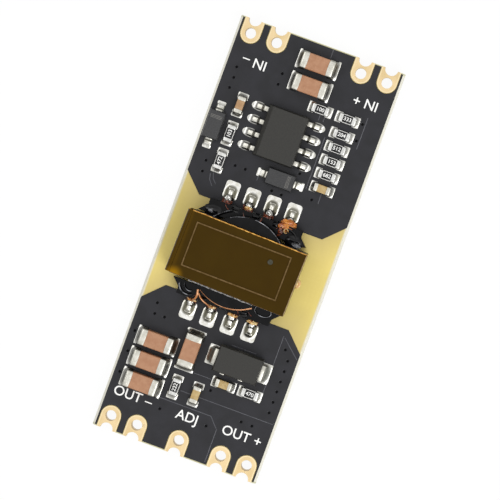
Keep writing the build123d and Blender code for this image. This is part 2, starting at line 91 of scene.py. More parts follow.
def leave(piece):
    """Leave edit mode with the normals pointing outwards."""
    bpy.ops.mesh.select_all(action="SELECT")
    bpy.ops.mesh.normals_make_consistent(inside=False)
    bpy.ops.object.mode_set(mode="OBJECT")
    return piece


def modify(piece, kind, **settings):
    """Add one modifier with these settings and apply it."""
    take(piece)
    modifier = piece.modifiers.new(kind.title(), kind)
    for key, value in settings.items():
        setattr(modifier, key, value)
    bpy.ops.object.modifier_apply(modifier=modifier.name)
    return piece


def smooth(piece, angle=40):
    """Shade smooth, but keep the edges that are sharper than this."""
    take(piece)
    bpy.ops.object.shade_smooth_by_angle(angle=math.radians(angle))
    return piece


def soften(piece, radius, segments=3, angle=30):
    """Round the sharp edges with a small real radius. Weighted normals keep the flat faces flat."""
    modify(
        piece, "BEVEL", width=radius * MM, segments=segments,
        limit_method="ANGLE", angle_limit=math.radians(angle),
    )
    smooth(piece)
    return modify(piece, "WEIGHTED_NORMAL", keep_sharp=True)


def settle(piece, name):
    """Name a piece and put its place into its mesh."""
    take(piece)
    bpy.ops.object.transform_apply(location=True, rotation=True, scale=True)
    piece.name = name
    piece.data.name = name
    return piece


def spot(x, y, turn=0.0, z=None):
    """The place of a part on the board, in mm and degrees."""
    height = top if z is None else z
    return Matrix.Translation(Vector((x, y, height)) * MM) @ Matrix.Rotation(math.radians(turn), 4, "Z")


def copy_at(piece, places):
    """Copies of a model piece, each with its own mesh, at these places. The model itself goes."""
    copies = []
    for place in places:
        take(piece)
        bpy.ops.object.duplicate()
        twin = bpy.context.object
        twin.matrix_world = place @ twin.matrix_world
        bpy.ops.object.transform_apply(location=True, rotation=True, scale=True)
        copies.append(twin)
    bpy.data.objects.remove(piece)
    return copies


def join(pieces, name):
    """One object from several pieces of the same finish."""
    take(pieces[0])
    for piece in pieces:
        piece.select_set(True)
    bpy.ops.object.join()
    return settle(bpy.context.object, name)


def dress(node, name, radius, segments=2):
    """A copy of a CAD node with its edges rounded, which then stands for the node."""
    piece = nodes[node].copy()
    piece.data = nodes[node].data.copy()
    bpy.context.scene.collection.objects.link(piece)
    piece.parent = None
    for key in list(piece.keys()):
        del piece[key]
    take(piece)
    bpy.ops.object.mode_set(mode="EDIT")
    bpy.ops.mesh.select_all(action="SELECT")
    bpy.ops.mesh.remove_doubles(threshold=0.0005 * MM)
    bpy.ops.mesh.dissolve_limited(angle_limit=math.radians(1))
    bpy.ops.object.mode_set(mode="OBJECT")
    if radius:
        soften(piece, radius, segments)
    return settle(piece, name)


made = []


def done(piece, material, slot, *replaced):
    """Give a piece its finish, let it ride on the module and hide the CAD nodes that it stands for."""
    piece.data.materials.clear()
    piece.data.materials.append(material)
    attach(piece, "root")
    if replaced:
        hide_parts(*replaced)
    made.append(piece.name)
    print(f"made {piece.name}: {len(piece.data.polygons)} faces of {material.name}")
    return piece


# %% [markdown]
# The camera looks almost straight down, a little from the upper right, through a long lens, which
# is how a small module is photographed. The board lies turned in the picture, so the camera's up
# direction is turned against it. It is made first, so that every later piece can be looked at.

# %% Camera
camera_data = bpy.data.cameras.new("camera")
camera_data.lens = 236.0
camera_data.sensor_width = 36.0
camera_data.clip_start = 0.01
camera = bpy.data.objects.new("camera", camera_data)
bpy.context.scene.collection.objects.link(camera)
bpy.context.scene.camera = camera
aim = Vector((0.15, 0.05, 2.0)) * MM
distance = 300 * MM
from_right, from_top = math.radians(1.8), math.radians(2.3)
picture_up = Vector((-0.344, 0.939, 0))
backwards = Vector((math.tan(from_right), math.tan(from_top), 1)).normalized()
sideways = picture_up.cross(backwards).normalized()
upwards = backwards.cross(sideways)
turned = Matrix((sideways, upwards, backwards)).transposed().to_4x4()
camera.matrix_world = Matrix.Translation(aim + backwards * distance) @ turned
print("camera", round(distance / MM), "mm away, lens", camera_data.lens, "mm")

# %% [markdown]
# A material is named for the real finish. Its colour is a hex value as one would read it from a
# screen, so one function turns it into the linear numbers that the shader works with. One more
# function adds a node, sets its inputs and links it. No real finish has one flat colour, so grain
# mottles each one, and tint lays a second colour over a part of it.


# %% Helpers: colours and nodes
def linear(hex_color):
    """An sRGB hex colour as linear red, green, blue and alpha."""
    values = []
    for index in (1, 3, 5):
        part = int(hex_color[index:index + 2], 16) / 255
        values.append(part / 12.92 if part <= 0.04045 else ((part + 0.055) / 1.055) ** 2.4)
    return (*values, 1.0)


def add(tree, kind, inputs=None, **settings):
    """Add one node. An input is a value, another node, or one of that node's outputs."""
    item = tree.nodes.new(kind)
    for key, value in settings.items():
        setattr(item, key, value)
    for key, value in (inputs or {}).items():
        if isinstance(value, bpy.types.Node):
            value = next(output for output in value.outputs if output.enabled)
        if isinstance(value, bpy.types.NodeSocket):
            tree.links.new(value, item.inputs[key])
        else:
            item.inputs[key].default_value = value
    return item


def finish(name, color, roughness, metallic=0.0, **constants):
    """A new material. Numbers that are the same all over are set on the shader itself."""
    material = bpy.data.materials.new(name)
    material.use_nodes = True
    shader = material.node_tree.nodes["Principled BSDF"]
    shader.inputs["Base Color"].default_value = linear(color)
    shader.inputs["Roughness"].default_value = roughness
    shader.inputs["Metallic"].default_value = metallic
    for key, value in constants.items():
        shader.inputs[key.replace("_", " ")].default_value = value
    material.diffuse_color = linear(color)
    print("finish", name)
    return material


def drive(material, socket, node):
    """Let a node's result drive one input of the finish's shader."""
    tree = material.node_tree
    tree.links.new(node.outputs[0], tree.nodes["Principled BSDF"].inputs[socket])


def tint(material, share, color):
    """Lay a colour over what the finish has so far, as far as the share goes from 0 to 1."""
    tree = material.node_tree
    so_far = tree.nodes["Principled BSDF"].inputs["Base Color"].links[0].from_socket
    mixed = add(tree, "ShaderNodeMixRGB", {"Fac": share, "Color1": so_far, "Color2": linear(color)})
    drive(material, "Base Color", mixed)


def grain(material, color, other, size, rough, bump=0.0):
    """Mottle a finish: noise of this size in mm drives its colour, its roughness and a bump in mm."""
    tree = material.node_tree
    place = add(tree, "ShaderNodeTexCoord").outputs["Object"]
    cloud = add(tree, "ShaderNodeTexNoise", {"Vector": place, "Scale": 1 / (size * MM), "Detail": 3.0})
    share = add(tree, "ShaderNodeMapRange", {"Value": cloud, "From Min": 0.38, "From Max": 0.62})
    drive(material, "Base Color", add(tree, "ShaderNodeMixRGB", {
        "Fac": share, "Color1": linear(color), "Color2": linear(other),
    }))
    drive(material, "Roughness", add(tree, "ShaderNodeMapRange", {
        "Value": cloud, "From Min": 0.3, "From Max": 0.7, "To Min": rough[0], "To Max": rough[1],
    }))
    if bump:
        drive(material, "Normal", add(tree, "ShaderNodeBump", {
            "Height": cloud, "Strength": 1.0, "Distance": bump * MM,
        }))
    return material


# %% [markdown]
# The bare laminate is glass cloth in epoxy, pale yellow where it shows between the two halves of
# the mask. The cloth shows as a faint square weave, which two Wave textures give where they cross.
# A real thread is finer than this, and is drawn as coarse as it needs to show. A Wave texture
# repeats every pi / 10 units, so its scale is worked out from the spacing of the threads.

# %% Glass epoxy laminate
laminate = finish("glass_epoxy_laminate", "#dccf7e", 0.42)
tree = laminate.node_tree
place = add(tree, "ShaderNodeTexCoord").outputs["Object"]
thread_spacing = 0.42
wave_scale = math.pi / 10 / (thread_spacing * MM)
threads = [
    add(tree, "ShaderNodeTexWave", {
        "Vector": place, "Scale": wave_scale, "Distortion": 0.4,
    }, bands_direction=axis).outputs["Fac"]
    for axis in "XY"
]
weave = add(tree, "ShaderNodeMath", {0: threads[0], 1: threads[1]}, operation="MULTIPLY")
drive(laminate, "Base Color", add(tree, "ShaderNodeMixRGB", {
    "Fac": weave, "Color1": linear("#ead57a"), "Color2": linear("#edd980"),
}))
drive(laminate, "Normal", add(tree, "ShaderNodeBump", {
    "Height": weave, "Strength": 0.3, "Distance": 0.004 * MM,
}))
cloud = add(tree, "ShaderNodeTexNoise", {"Vector": place, "Scale": 1 / (2.6 * MM), "Detail": 2.0})
tint(laminate, cloud, "#e6d173")

# %% [markdown]
# Laminate is translucent, and light doesn't enter it through the black mask, so it is darker
# within about 3 mm of the mask's two edges. Each edge is straight, with a chamfer at both ends,
# so the distance from it is the larger of the distances from two lines. The strip beyond the
# mask at the scored long edges is ivory, and the routed short ends are a greyer green.

# %% Laminate: shade, scored and routed edges
axes = add(tree, "ShaderNodeSeparateXYZ", {"Vector": place})
from_middle, from_centre = (
    add(tree, "ShaderNodeMath", {0: axes.outputs[axis]}, operation="ABSOLUTE") for axis in "XY"
)
mask_ends = [(nodes["top_solder_mask"].matrix_world @ vertex.co).y
             for vertex in nodes["top_solder_mask"].data.vertices]
upper_edge = min(y for y in mask_ends if y > 0)
lower_edge = max(y for y in mask_ends if y < 0)
chamfer_start = 6.0
past_mask = []
for first, second in ((upper_edge, axes.outputs["Y"]), (axes.outputs["Y"], lower_edge)):
    straight = add(tree, "ShaderNodeMath", {0: first, 1: second}, operation="SUBTRACT")
    corner = add(tree, "ShaderNodeMath", {0: straight, 1: from_middle}, operation="ADD")
    corner = add(tree, "ShaderNodeMath", {0: corner, 1: chamfer_start * MM}, operation="SUBTRACT")
    slant = add(tree, "ShaderNodeMath", {0: corner, 1: math.sqrt(0.5)}, operation="MULTIPLY")
    past_mask.append(add(tree, "ShaderNodeMath", {0: straight, 1: slant}, operation="MAXIMUM"))
nearest = add(tree, "ShaderNodeMath", dict(enumerate(past_mask)), operation="MINIMUM")
shade = add(tree, "ShaderNodeMapRange", {"Value": nearest, "From Min": 2.8 * MM, "From Max": 0.0})
scored = add(tree, "ShaderNodeMapRange", {
    "Value": from_middle, "From Min": 7.62 * MM, "From Max": 7.8 * MM,
})
routed = add(tree, "ShaderNodeMapRange", {
    "Value": from_centre, "From Min": 19.78 * MM, "From Max": 19.84 * MM, "To Max": 0.8,
})
for share, color in ((shade, "#c8b46c"), (scored, "#dedbcc"), (routed, "#c3c19e")):
    tint(laminate, share, color)
print("the mask ends at y", round(upper_edge / MM, 2), "and", round(lower_edge / MM, 2), "mm")

# %% [markdown]
# The mask is a satin black lacquer, charcoal rather than black because it reflects the light
# overhead. The noise is the faint orange peel of a printed lacquer. The plating is gold over
# nickel, soft and warm. The tin on leads and chip ends is matt, and the solder that has melted
# round them is brighter, with fine wrinkles where it froze.

# %% Lacquer and metals
mask = grain(finish("black_solder_mask", "#17171c", 0.4, Specular_IOR_Level=0.34),
             "#15151a", "#1b1b21", 1.4, (0.36, 0.46), bump=0.003)
gold = grain(finish("immersion_gold", "#d4bd92", 0.45, 1.0),
             "#cfb88b", "#d9c399", 1.2, (0.44, 0.5), bump=0.0005)
tin = grain(finish("matt_tin", "#c5c3b9", 0.34, 1.0), "#bfbdb2", "#cbc9c0", 0.4, (0.3, 0.38), bump=0.001)
bright_tin = grain(finish("bright_tin", "#d4d4d1", 0.26, 1.0),
                   "#cbcbc7", "#dfdfdc", 0.3, (0.22, 0.3), bump=0.002)
solder, pool_solder = (
    grain(finish(name, "#d2d1ca", 0.32, 1.0), "#c9c8c0", "#dbdad5", 0.5, (0.28, 0.36), bump=0.001)
    for name in ("reflowed_solder", "reflowed_pool_solder")
)
leg_solder = grain(finish("reflowed_leg_solder", "#d6d5cf", 0.22, 1.0),
                   "#cccbc4", "#e0dfda", 0.4, (0.18, 0.26), bump=0.002)
fluxed = grain(finish("fluxed_solder", "#dcdbd6", 0.3, 1.0),
               "#d2d0c6", "#e7e6e2", 0.35, (0.26, 0.35), bump=0.002)

# %% [markdown]
# A joint is hollow: its flat rim shines, and its steep part is darker. So the colour also follows
# the slope, which is how far the surface's normal is from straight up. This darkening is painted
# shade, which stands in for the darker surroundings that a steep metal face mirrors; in the joints
# of the transformer's pins its olive tone is partly flux as well. Under the diodes the slope is
# dull as well, so that it doesn't mirror the parts beside it.


# %% Metal with painted shade where it slopes
def hollow(material, dark, flat, steep, dull=0.0):
    """Paint shade on a metal as its normal's upward share goes from flat to steep, and dull it there."""
    tree = material.node_tree
    normal = add(tree, "ShaderNodeNewGeometry").outputs["Normal"]
    upward = add(tree, "ShaderNodeSeparateXYZ", {"Vector": normal}).outputs["Z"]
    slope = add(tree, "ShaderNodeMapRange", {"Value": upward, "From Min": flat, "From Max": steep})
    tint(material, slope, dark)
    if dull:
        rough = tree.nodes["Principled BSDF"].inputs["Roughness"].links[0].from_socket
        least = add(tree, "ShaderNodeMath", {0: slope, 1: dull}, operation="MULTIPLY")
        drive(material, "Roughness", add(tree, "ShaderNodeMath", {0: rough, 1: least}, operation="MAXIMUM"))


# Painted shade on the slopes of each metal, each in its own darker colour.
hollow(tin, "#8b897e", 0.9, 0.3)
hollow(bright_tin, "#74736f", 0.95, 0.4)
hollow(solder, "#8c8a82", 0.98, 0.5)
hollow(pool_solder, "#84867c", 0.98, 0.6, dull=0.7)
hollow(leg_solder, "#4a4843", 0.995, 0.78)
hollow(fluxed, "#706c52", 0.999, 0.82)

# %% [markdown]
# Along a land's border the gold is drawn paler: a painted highlight, for the light that the
# land's edge catches. A land is round about its hole and straight from there to the board's end.
# So the distance is taken from the nearest hole in x, and in y only on the side towards the
# board's middle.

# %% Painted highlight along the gold's border
hole_x = (4.1, 6.64)
hole_y = 18.68
border = 0.835
tree = gold.node_tree
axes = add(tree, "ShaderNodeSeparateXYZ", {"Vector": add(tree, "ShaderNodeTexCoord").outputs["Object"]})
beside, along = (
    add(tree, "ShaderNodeMath", {0: axes.outputs[axis]}, operation="ABSOLUTE") for axis in "XY"
)
nearest = beside
for hole in hole_x:
    gap = add(tree, "ShaderNodeMath", {0: beside, 1: hole * MM}, operation="SUBTRACT")
    gap = add(tree, "ShaderNodeMath", {0: gap}, operation="ABSOLUTE")
    nearest = add(tree, "ShaderNodeMath", {0: nearest, 1: gap}, operation="MINIMUM")
inward = add(tree, "ShaderNodeMath", {0: hole_y * MM, 1: along}, operation="SUBTRACT")
inward = add(tree, "ShaderNodeMath", {0: inward, 1: 0.0}, operation="MAXIMUM")
from_hole = add(tree, "ShaderNodeVectorMath", {
    0: add(tree, "ShaderNodeCombineXYZ", {"X": nearest, "Y": inward}),
}, operation="LENGTH")
# The paler colour along the border is a painted highlight.
tint(gold, add(tree, "ShaderNodeMapRange", {
    "Value": from_hole, "From Min": (border - 0.05) * MM, "From Max": (border + 0.01) * MM,
}), "#dfcda6")

# %% [markdown]
# Fired ceramic is matt with a fine speckle. The large capacitors are a tan brown dielectric, one
# small one is a yellower brown and three are beige. The chip resistors are white alumina with a
# black glass cover. Moulded packages are epoxy filled with glass sand, which leaves a fine matt
# skin that is a little warmer than the mask.

# %% Ceramics, glass and mouldings
tan = grain(finish("tan_ceramic", "#a57655", 0.5), "#a27251", "#ab7d5d", 0.5, (0.42, 0.58), bump=0.002)
brown = grain(finish("brown_ceramic", "#a7835c", 0.5), "#a17b52", "#ae8b64", 0.4, (0.42, 0.58), bump=0.002)
beige = grain(finish("beige_ceramic", "#b19661", 0.5), "#ac8f58", "#baa371", 0.4, (0.42, 0.58), bump=0.002)
alumina = grain(finish("white_alumina", "#dcdbd6", 0.45), "#d3d2cc", "#e6e5e1", 0.2, (0.4, 0.55), bump=0.003)
glass = grain(finish("black_overcoat_glass", "#121214", 0.22, Specular_IOR_Level=0.25),
              "#101012", "#1a1a1d", 0.3, (0.14, 0.26), bump=0.004)
epoxy = grain(finish("moulded_epoxy", "#282724", 0.55, Specular_IOR_Level=0.4),
              "#242320", "#2e2d29", 0.12, (0.5, 0.66), bump=0.004)
diode_epoxy = grain(finish("moulded_epoxy_grey", "#333334", 0.5, Specular_IOR_Level=0.4),
                    "#2e2e2f", "#3a3a3b", 0.12, (0.45, 0.6), bump=0.004)
ferrite = grain(finish("sintered_ferrite", "#2b2b2e", 0.45, Specular_IOR_Level=0.4),
                "#222225", "#37373a", 0.25, (0.38, 0.55), bump=0.006)
phenolic = grain(finish("black_phenolic", "#0a0a0b", 0.14, Specular_IOR_Level=0.15),
                 "#080809", "#0f0f11", 0.8, (0.1, 0.2), bump=0.004)
sleeve = grain(finish("black_polyester_tape", "#0a0a0b", 0.12, Specular_IOR_Level=0.4),
               "#080809", "#101012", 0.9, (0.08, 0.16), bump=0.006)
# A painted highlight: the pale grey line where the core's ground edge catches the light.
painted_edge_highlight = grain(finish("painted_edge_highlight_grey", "#6c6c6e", 0.3), "#3c3c3e", "#a4a29f", 0.25, (0.25, 0.4), bump=0.01)
# Painted highlights: pale grey threads on the sleeved loops and on the former's rim.
painted_highlight = grain(finish("painted_highlight_grey", "#3a3b3f", 0.15), "#242428", "#a4a6ab", 0.5, (0.1, 0.25), bump=0.01)

# %% [markdown]
# The winding wire is copper under orange-brown enamel. Where it was soldered to a pin the enamel
# has burnt dark red. Enamel, resin and flux have a glossy skin over a coloured body, so they get a
# clear coat. The print is flat white ink, and the middle of a via is almost black.

# %% Wire, resin and ink
wire_finish = grain(finish("enamelled_copper", "#d08a58", 0.25, 0.4, Coat_Weight=0.4, Coat_Roughness=0.08),
                    "#bf7a42", "#e0a272", 0.4, (0.2, 0.32))
burnt = grain(finish("burnt_enamel", "#4a2112", 0.3, Coat_Weight=0.5, Coat_Roughness=0.1),
              "#2a1410", "#8a3c18", 0.2, (0.2, 0.45), bump=0.03)
scorched = grain(finish("scorched_flux", "#c46a20", 0.18, Coat_Weight=0.4, Coat_Roughness=0.06),
                 "#a04a14", "#d88a34", 0.3, (0.12, 0.3), bump=0.02)
resin = grain(finish("amber_resin", "#dcae62", 0.1, Coat_Weight=0.5), "#c88a38", "#ecd094", 0.3, (0.08, 0.2))
ink = grain(finish("white_print", "#f2f2ee", 0.5), "#ecece8", "#f8f8f5", 0.1, (0.45, 0.6))
hole_dark = grain(finish("plated_hole_shade", "#060607", 0.5, Specular_IOR_Level=0.05),
                  "#050506", "#0a0a0b", 0.1, (0.4, 0.6))

# %% [markdown]
# Polyimide tape is clear amber film. Over the dark core it looks olive brown. Where it stands off
# the core, at the left end and most at the lower left corner, light comes back through it and it
# glows, and its cut edges are bright. A real film with the core behind it would need many light
# bounces to show this, so the colour follows the place on the tape and the way it faces instead.

# %% Amber core tape
core_low, core_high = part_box("upper_core_half")
tape_finish = finish("amber_polyimide_tape", "#46330f", 0.2, IOR=1.1)
tree = tape_finish.node_tree
place = add(tree, "ShaderNodeTexCoord").outputs["Object"]
axes = add(tree, "ShaderNodeSeparateXYZ", {"Vector": place})
cloud = add(tree, "ShaderNodeTexNoise", {"Vector": place, "Scale": 1 / (1.8 * MM), "Detail": 2.0})
drive(tape_finish, "Base Color", add(tree, "ShaderNodeMixRGB", {
    "Fac": cloud, "Color1": linear("#39290a"), "Color2": linear("#41300b"),
}))
drive(tape_finish, "Normal", add(tree, "ShaderNodeBump", {
    "Height": cloud, "Strength": 0.5, "Distance": 0.01 * MM,
}))
left_end = add(tree, "ShaderNodeMapRange", {
    "Value": axes.outputs["X"], "From Min": core_low.x + 0.5 * MM, "From Max": core_low.x + 0.2 * MM,
    "To Max": 0.08,
}, interpolation_type="SMOOTHSTEP")
from_corner = add(tree, "ShaderNodeVectorMath", {
    0: add(tree, "ShaderNodeCombineXYZ", {"X": axes.outputs["X"], "Y": axes.outputs["Y"]}),
    1: (core_low.x + 0.4 * MM, core_low.y + 0.15 * MM, 0.0),
}, operation="DISTANCE")
corner = add(tree, "ShaderNodeMapRange", {
    "Value": from_corner, "From Min": 1.1 * MM, "From Max": 0.1 * MM,
}, interpolation_type="SMOOTHSTEP")
glow = add(tree, "ShaderNodeMath", {0: left_end, 1: corner}, operation="MAXIMUM")
tint(tape_finish, glow, "#936a0a")
facing = add(tree, "ShaderNodeSeparateXYZ", {"Vector": add(tree, "ShaderNodeNewGeometry").outputs["Normal"]})
cut = add(tree, "ShaderNodeMath", {0: facing.outputs["Y"]}, operation="ABSOLUTE")
tint(tape_finish, add(tree, "ShaderNodeMapRange", {"Value": cut, "From Min": 0.5, "From Max": 0.85}), "#d89a34")
print("the tape glows from x", round(core_low.x / MM + 0.5, 2), "mm to its left end")

# %% [markdown]
# The board and the windings inside the transformer have the right shape already, so they keep
# their CAD meshes and only get their finishes.

# %% Finishes of the kept nodes
kept = {
    "circuit_board": laminate, "top_solder_mask": mask, "bottom_solder_mask": mask,
    "primary_winding": wire_finish, "interlayer_tape": tape_finish, "secondary_winding": wire_finish,
}
for name, material in kept.items():
    nodes[name].data.materials.clear()
    nodes[name].data.materials.append(material)

# %% [markdown]
# The terminals are gold lands with a hole and a half hole at the board's edge. Their edges are
# etched and plated, so they are slightly round, which a fine bevel gives.

# %% Terminals
for end in ("input", "output"):
    plating = dress(f"{end}_terminals", f"{end}_terminal_plating", 0.03)
    done(plating, gold, "gold_plating", f"{end}_terminals")

# %% [markdown]
# A ceramic block is ground and tumbled before its ends are dipped in metal, so its edges are
# round. The rounding is what draws the thin bright lines along its long sides.

# %% Ceramic blocks
large = [f"input_capacitor_{index}" for index in (1, 2)]
large += [f"output_capacitor_{index}" for index in (1, 2, 3, 4)]
small = [f"{use}_capacitor" for use in ("supply", "compensation", "feedback", "snubber")]
resistors = [
    f"{use}_resistor" for use in (
        "start_up", "damping", "input", "enable", "frequency", "reference", "feedback",
        "compensation", "adjust", "snubber",
    )
]
for name in large:
    done(dress(name, name + "_block", 0.1, 3), tan, "large_ceramic", name)
for name in small:
    material, slot = (brown, "large_ceramic") if name == "supply_capacitor" else (beige, "small_ceramic")
    done(dress(name, name + "_block", 0.05, 3), material, slot, name)
for name in resistors:
    done(dress(name, name + "_plate", 0.02), alumina, "alumina", name)

# %% [markdown]
# The ends of a chip are dipped in metal paste and plated. The metal is a thin cap with round
# edges, thickest in its middle. A cube is set to the cap's size, its edges are bevelled, and the
# rim that lies on the ceramic is pulled inwards at its middle, as the dipped paste creeps.


# %% Metal end caps
def layout(node):
    """A node's middle and its top in mm, and its turn: 90 degrees where it is longer along Y."""
    low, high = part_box(node)
    turn = 90 if high.y - low.y > high.x - low.x else 0
    return (low + high) / 2 / MM, high.z / MM, turn


def ends_of(node):
    """The places of a part's two ends: its middle on the board, with +X towards that end."""
    middle, _, turn = layout(node)
    return [spot(middle.x, middle.y, turn + half) for half in (0, 180)]


def end_cap(half_length, band, width, height, radius, crown):
    """One end cap, at +X of a chip that stands on the board's lands, a little crowned on top."""
    bpy.ops.mesh.primitive_cube_add(size=1, location=((half_length - band / 2) * MM, 0, height / 2 * MM))
    piece = bpy.context.object
    piece.scale = (band * MM, width * MM, height * MM)
    settle(piece, "end_cap")
    inner = half_length - band
    pick(piece, "EDGE", lambda p: abs(p.x - inner) > 0.01)
    bpy.ops.mesh.bevel(offset=radius * MM, segments=4, affect="EDGES")
    leave(piece)
    pick(piece, "FACE", lambda p: True)
    bpy.ops.mesh.subdivide(number_cuts=3)
    leave(piece)
    for vertex in piece.data.vertices:
        x, y, z = vertex.co / MM
        centred = max(0, 1 - (2 * y / width) ** 2)
        creep = max(0, 1 - (x - inner) / (band * 0.5)) * centred
        swell = max(0, 1 - (2 * (x - inner) / band - 1) ** 2) * math.sqrt(centred)
        vertex.co.x -= creep * crown * 2 * MM
        vertex.co.z += swell * crown * (z / height) * MM
    return smooth(piece, 50)


large_cap = dict(half_length=1.6, band=0.6, width=1.6, height=1.5, radius=0.17, crown=0.02)
small_cap = dict(half_length=0.8, band=0.35, width=0.8, height=0.8, radius=0.09, crown=0.012)
resistor_cap = dict(small_cap, height=0.45, radius=0.06, crown=0.008)
for node, chips, sizes, metal in (
    ("input_capacitor_ends", large[:2], large_cap, tin),
    ("output_capacitor_ends", large[2:], large_cap, tin),
    ("small_capacitor_ends", small, small_cap, tin),
    ("resistor_ends", resistors, resistor_cap, bright_tin),
):
    places = [place for name in chips for place in ends_of(name)]
    done(join(copy_at(end_cap(**sizes), places), node + "_plated"), metal, "tin_plating", node)

# %% [markdown]
# Solder wets the whole land and climbs the metal beside it in a hollow curve. A grid is laid over
# the land, its corners are rounded, and each of its points is raised by the curve's height. Its
# rim is then extruded down to the board and closed, so the form is solid.


# %% Solder forms
def pool(x_low, x_high, width, corner, height, steps=(22, 14)):
    """A solid of solder over a land, with the height that the curve gives at each point, in mm.

    A corner is round, or longer than it is wide where the land runs to a blunt point.
    """
    corner_x, corner_y = corner
    half_x = (x_high - x_low) / 2
    half_y = width / 2
    bpy.ops.mesh.primitive_grid_add(x_subdivisions=steps[0], y_subdivisions=steps[1], size=2)
    piece = bpy.context.object
    for vertex in piece.data.vertices:
        x = vertex.co.x * half_x
        y = vertex.co.y * half_y
        over_x = (abs(x) - (half_x - corner_x)) / corner_x
        over_y = (abs(y) - (half_y - corner_y)) / corner_y
        if over_x > 0 and over_y > 0:
            pull = max(over_x, over_y) / math.hypot(over_x, over_y)
            x = math.copysign(half_x - corner_x + corner_x * over_x * pull, x)
            y = math.copysign(half_y - corner_y + corner_y * over_y * pull, y)
        x += (x_low + x_high) / 2
        vertex.co = Vector((x, y, height(x, y))) * MM
    take(piece)
    bpy.ops.object.mode_set(mode="EDIT")
    bpy.ops.mesh.select_mode(type="EDGE")
    bpy.ops.mesh.select_all(action="DESELECT")
    bpy.ops.mesh.select_non_manifold()
    bpy.ops.mesh.extrude_region_move()
    bpy.ops.transform.resize(value=(1, 1, 0), center_override=(0, 0, 0))
    bpy.ops.mesh.edge_face_add()
    leave(piece)
    return smooth(piece, 60)


def chip_curve(half_length, half_width, reach, margin, rim, climb):
    """The height of solder at a chip's end: hollow outwards, low at the corners."""
    def height(x, y):
        out = min(max(x - half_length, 0) / reach, 1)
        side = min(max(abs(y) - half_width, 0) / margin, 1)
        along = (1 - out) ** 1.6
        across = 1 - 0.8 * min(abs(y) / half_width, 1) ** 4
        return rim + (climb - rim) * along * across * (1 - side) ** 2
    return height


LAND_RIM = 0.05
fillets = []
for chips, half_length, half_width, reach, climb, inside in (
    (large, 1.6, 0.8, 0.38, 0.46, 0.5),
    (small, 0.8, 0.4, 0.35, 0.34, 0.25),
    (resistors, 0.8, 0.4, 0.35, 0.24, 0.25),
):
    shape = pool(
        half_length - inside, half_length + reach, width=2 * half_width + 0.2, corner=(0.05, 0.05),
        height=chip_curve(half_length, half_width, reach, 0.1, LAND_RIM, climb),
    )
    places = [place for name in chips for place in ends_of(name)]
    fillets.append(copy_at(shape, places))
large_fillets, small_fillets, resistor_fillets = fillets
done(join(large_fillets + small_fillets, "capacitor_fillets"), solder, "solder", "capacitor_solder")
done(join(resistor_fillets, "resistor_fillets"), solder, "solder", "resistor_solder")

# %% [markdown]
# The black glass on a resistor covers the film but leaves a thin line of white alumina along both
# sides. Three plain digits give its value, as chip resistors of this size have them.


# %% Resistor covers and values
def printed(words, size, place, name, bold):
    """Flat printed words as a mesh, centred on the place. Bold is a share of the letter's size."""
    bpy.ops.object.text_add()
    piece = bpy.context.object
    piece.data.body = words
    piece.data.size = size * MM
    piece.data.align_x = "CENTER"
    piece.data.align_y = "CENTER"
    piece.data.offset = bold * size * MM
    piece.data.extrude = 0.006 * MM
    piece.data.resolution_u = 4
    bpy.ops.object.convert(target="MESH")
    piece = bpy.context.object
    piece.matrix_world = place
    return settle(piece, name)


values = ["103", "472", "100", "333", "204", "512", "153", "682", "222", "470"]
cover_length, cover_width, cover_thickness = 0.92, 0.68, 0.05
covers = []
digits = []
for name, value in zip(resistors, values):
    middle, plate_top, turn = layout(name)
    height = plate_top + cover_thickness / 2
    bpy.ops.mesh.primitive_cube_add(size=1, location=Vector((middle.x, middle.y, height)) * MM)
    cover = bpy.context.object
    sides = (cover_width, cover_length) if turn else (cover_length, cover_width)
    cover.scale = Vector((*sides, cover_thickness)) * MM
    covers.append(soften(settle(cover, "cover"), 0.02, 2))
    digits.append(printed(value, 0.5, spot(middle.x, middle.y, turn, plate_top + 0.055), "value", 0.012))
done(join(covers, "resistor_glass_covers"), glass, "resistor_glass", "resistor_covers")
done(join(digits, "resistor_values"), ink, "resistor_glass")

# %% [markdown]
# A lead is a strip of metal bent in a press. One edge of a plane is extruded along the bends, the
# edges at the bends are bevelled into small radii, and Solidify gives the strip its thickness.


# %% Bent leads
def bent_strip(path, width, thickness, bend, edge=0.025):
    """A strip in the XZ plane, from its centre line in mm."""
    bpy.ops.mesh.primitive_plane_add(size=2)
    piece = bpy.context.object
    piece.scale = (MM, width / 2 * MM, MM)
    settle(piece, "strip")
    pick(piece, "VERT", lambda p: p.x < 0)
    bpy.ops.mesh.delete(type="VERT")
    bpy.ops.object.mode_set(mode="OBJECT")
    for vertex in piece.data.vertices:
        vertex.co.x = path[0][0] * MM
        vertex.co.z = path[0][1] * MM
    take(piece)
    bpy.ops.object.mode_set(mode="EDIT")
    bpy.ops.mesh.select_mode(type="EDGE")
    bpy.ops.mesh.select_all(action="SELECT")
    for before, after in zip(path, path[1:]):
        step = Vector((after[0] - before[0], 0, after[1] - before[1])) * MM
        bpy.ops.mesh.extrude_region_move(TRANSFORM_OT_translate={"value": step})
    bpy.ops.object.mode_set(mode="OBJECT")
    bends = path[1:-1]

    def at_bend(p):
        return abs(p.y) < 0.01 and any(math.hypot(p.x - x, p.z - z) < 0.01 for x, z in bends)

    pick(piece, "EDGE", at_bend)
    bpy.ops.mesh.bevel(offset=bend * MM, segments=4, affect="EDGES")
    bpy.ops.object.mode_set(mode="OBJECT")
    modify(piece, "SOLIDIFY", thickness=thickness * MM, offset=0)
    take(piece)
    bpy.ops.object.mode_set(mode="EDIT")
    leave(piece)
    return soften(piece, edge, 2, 50)


# %% [markdown]
# The controller has eight gull leads. Each stands on a land whose outer end is round, and the
# solder lies round the foot in a low hollow curve, so the foot and the shoulder shine apart.

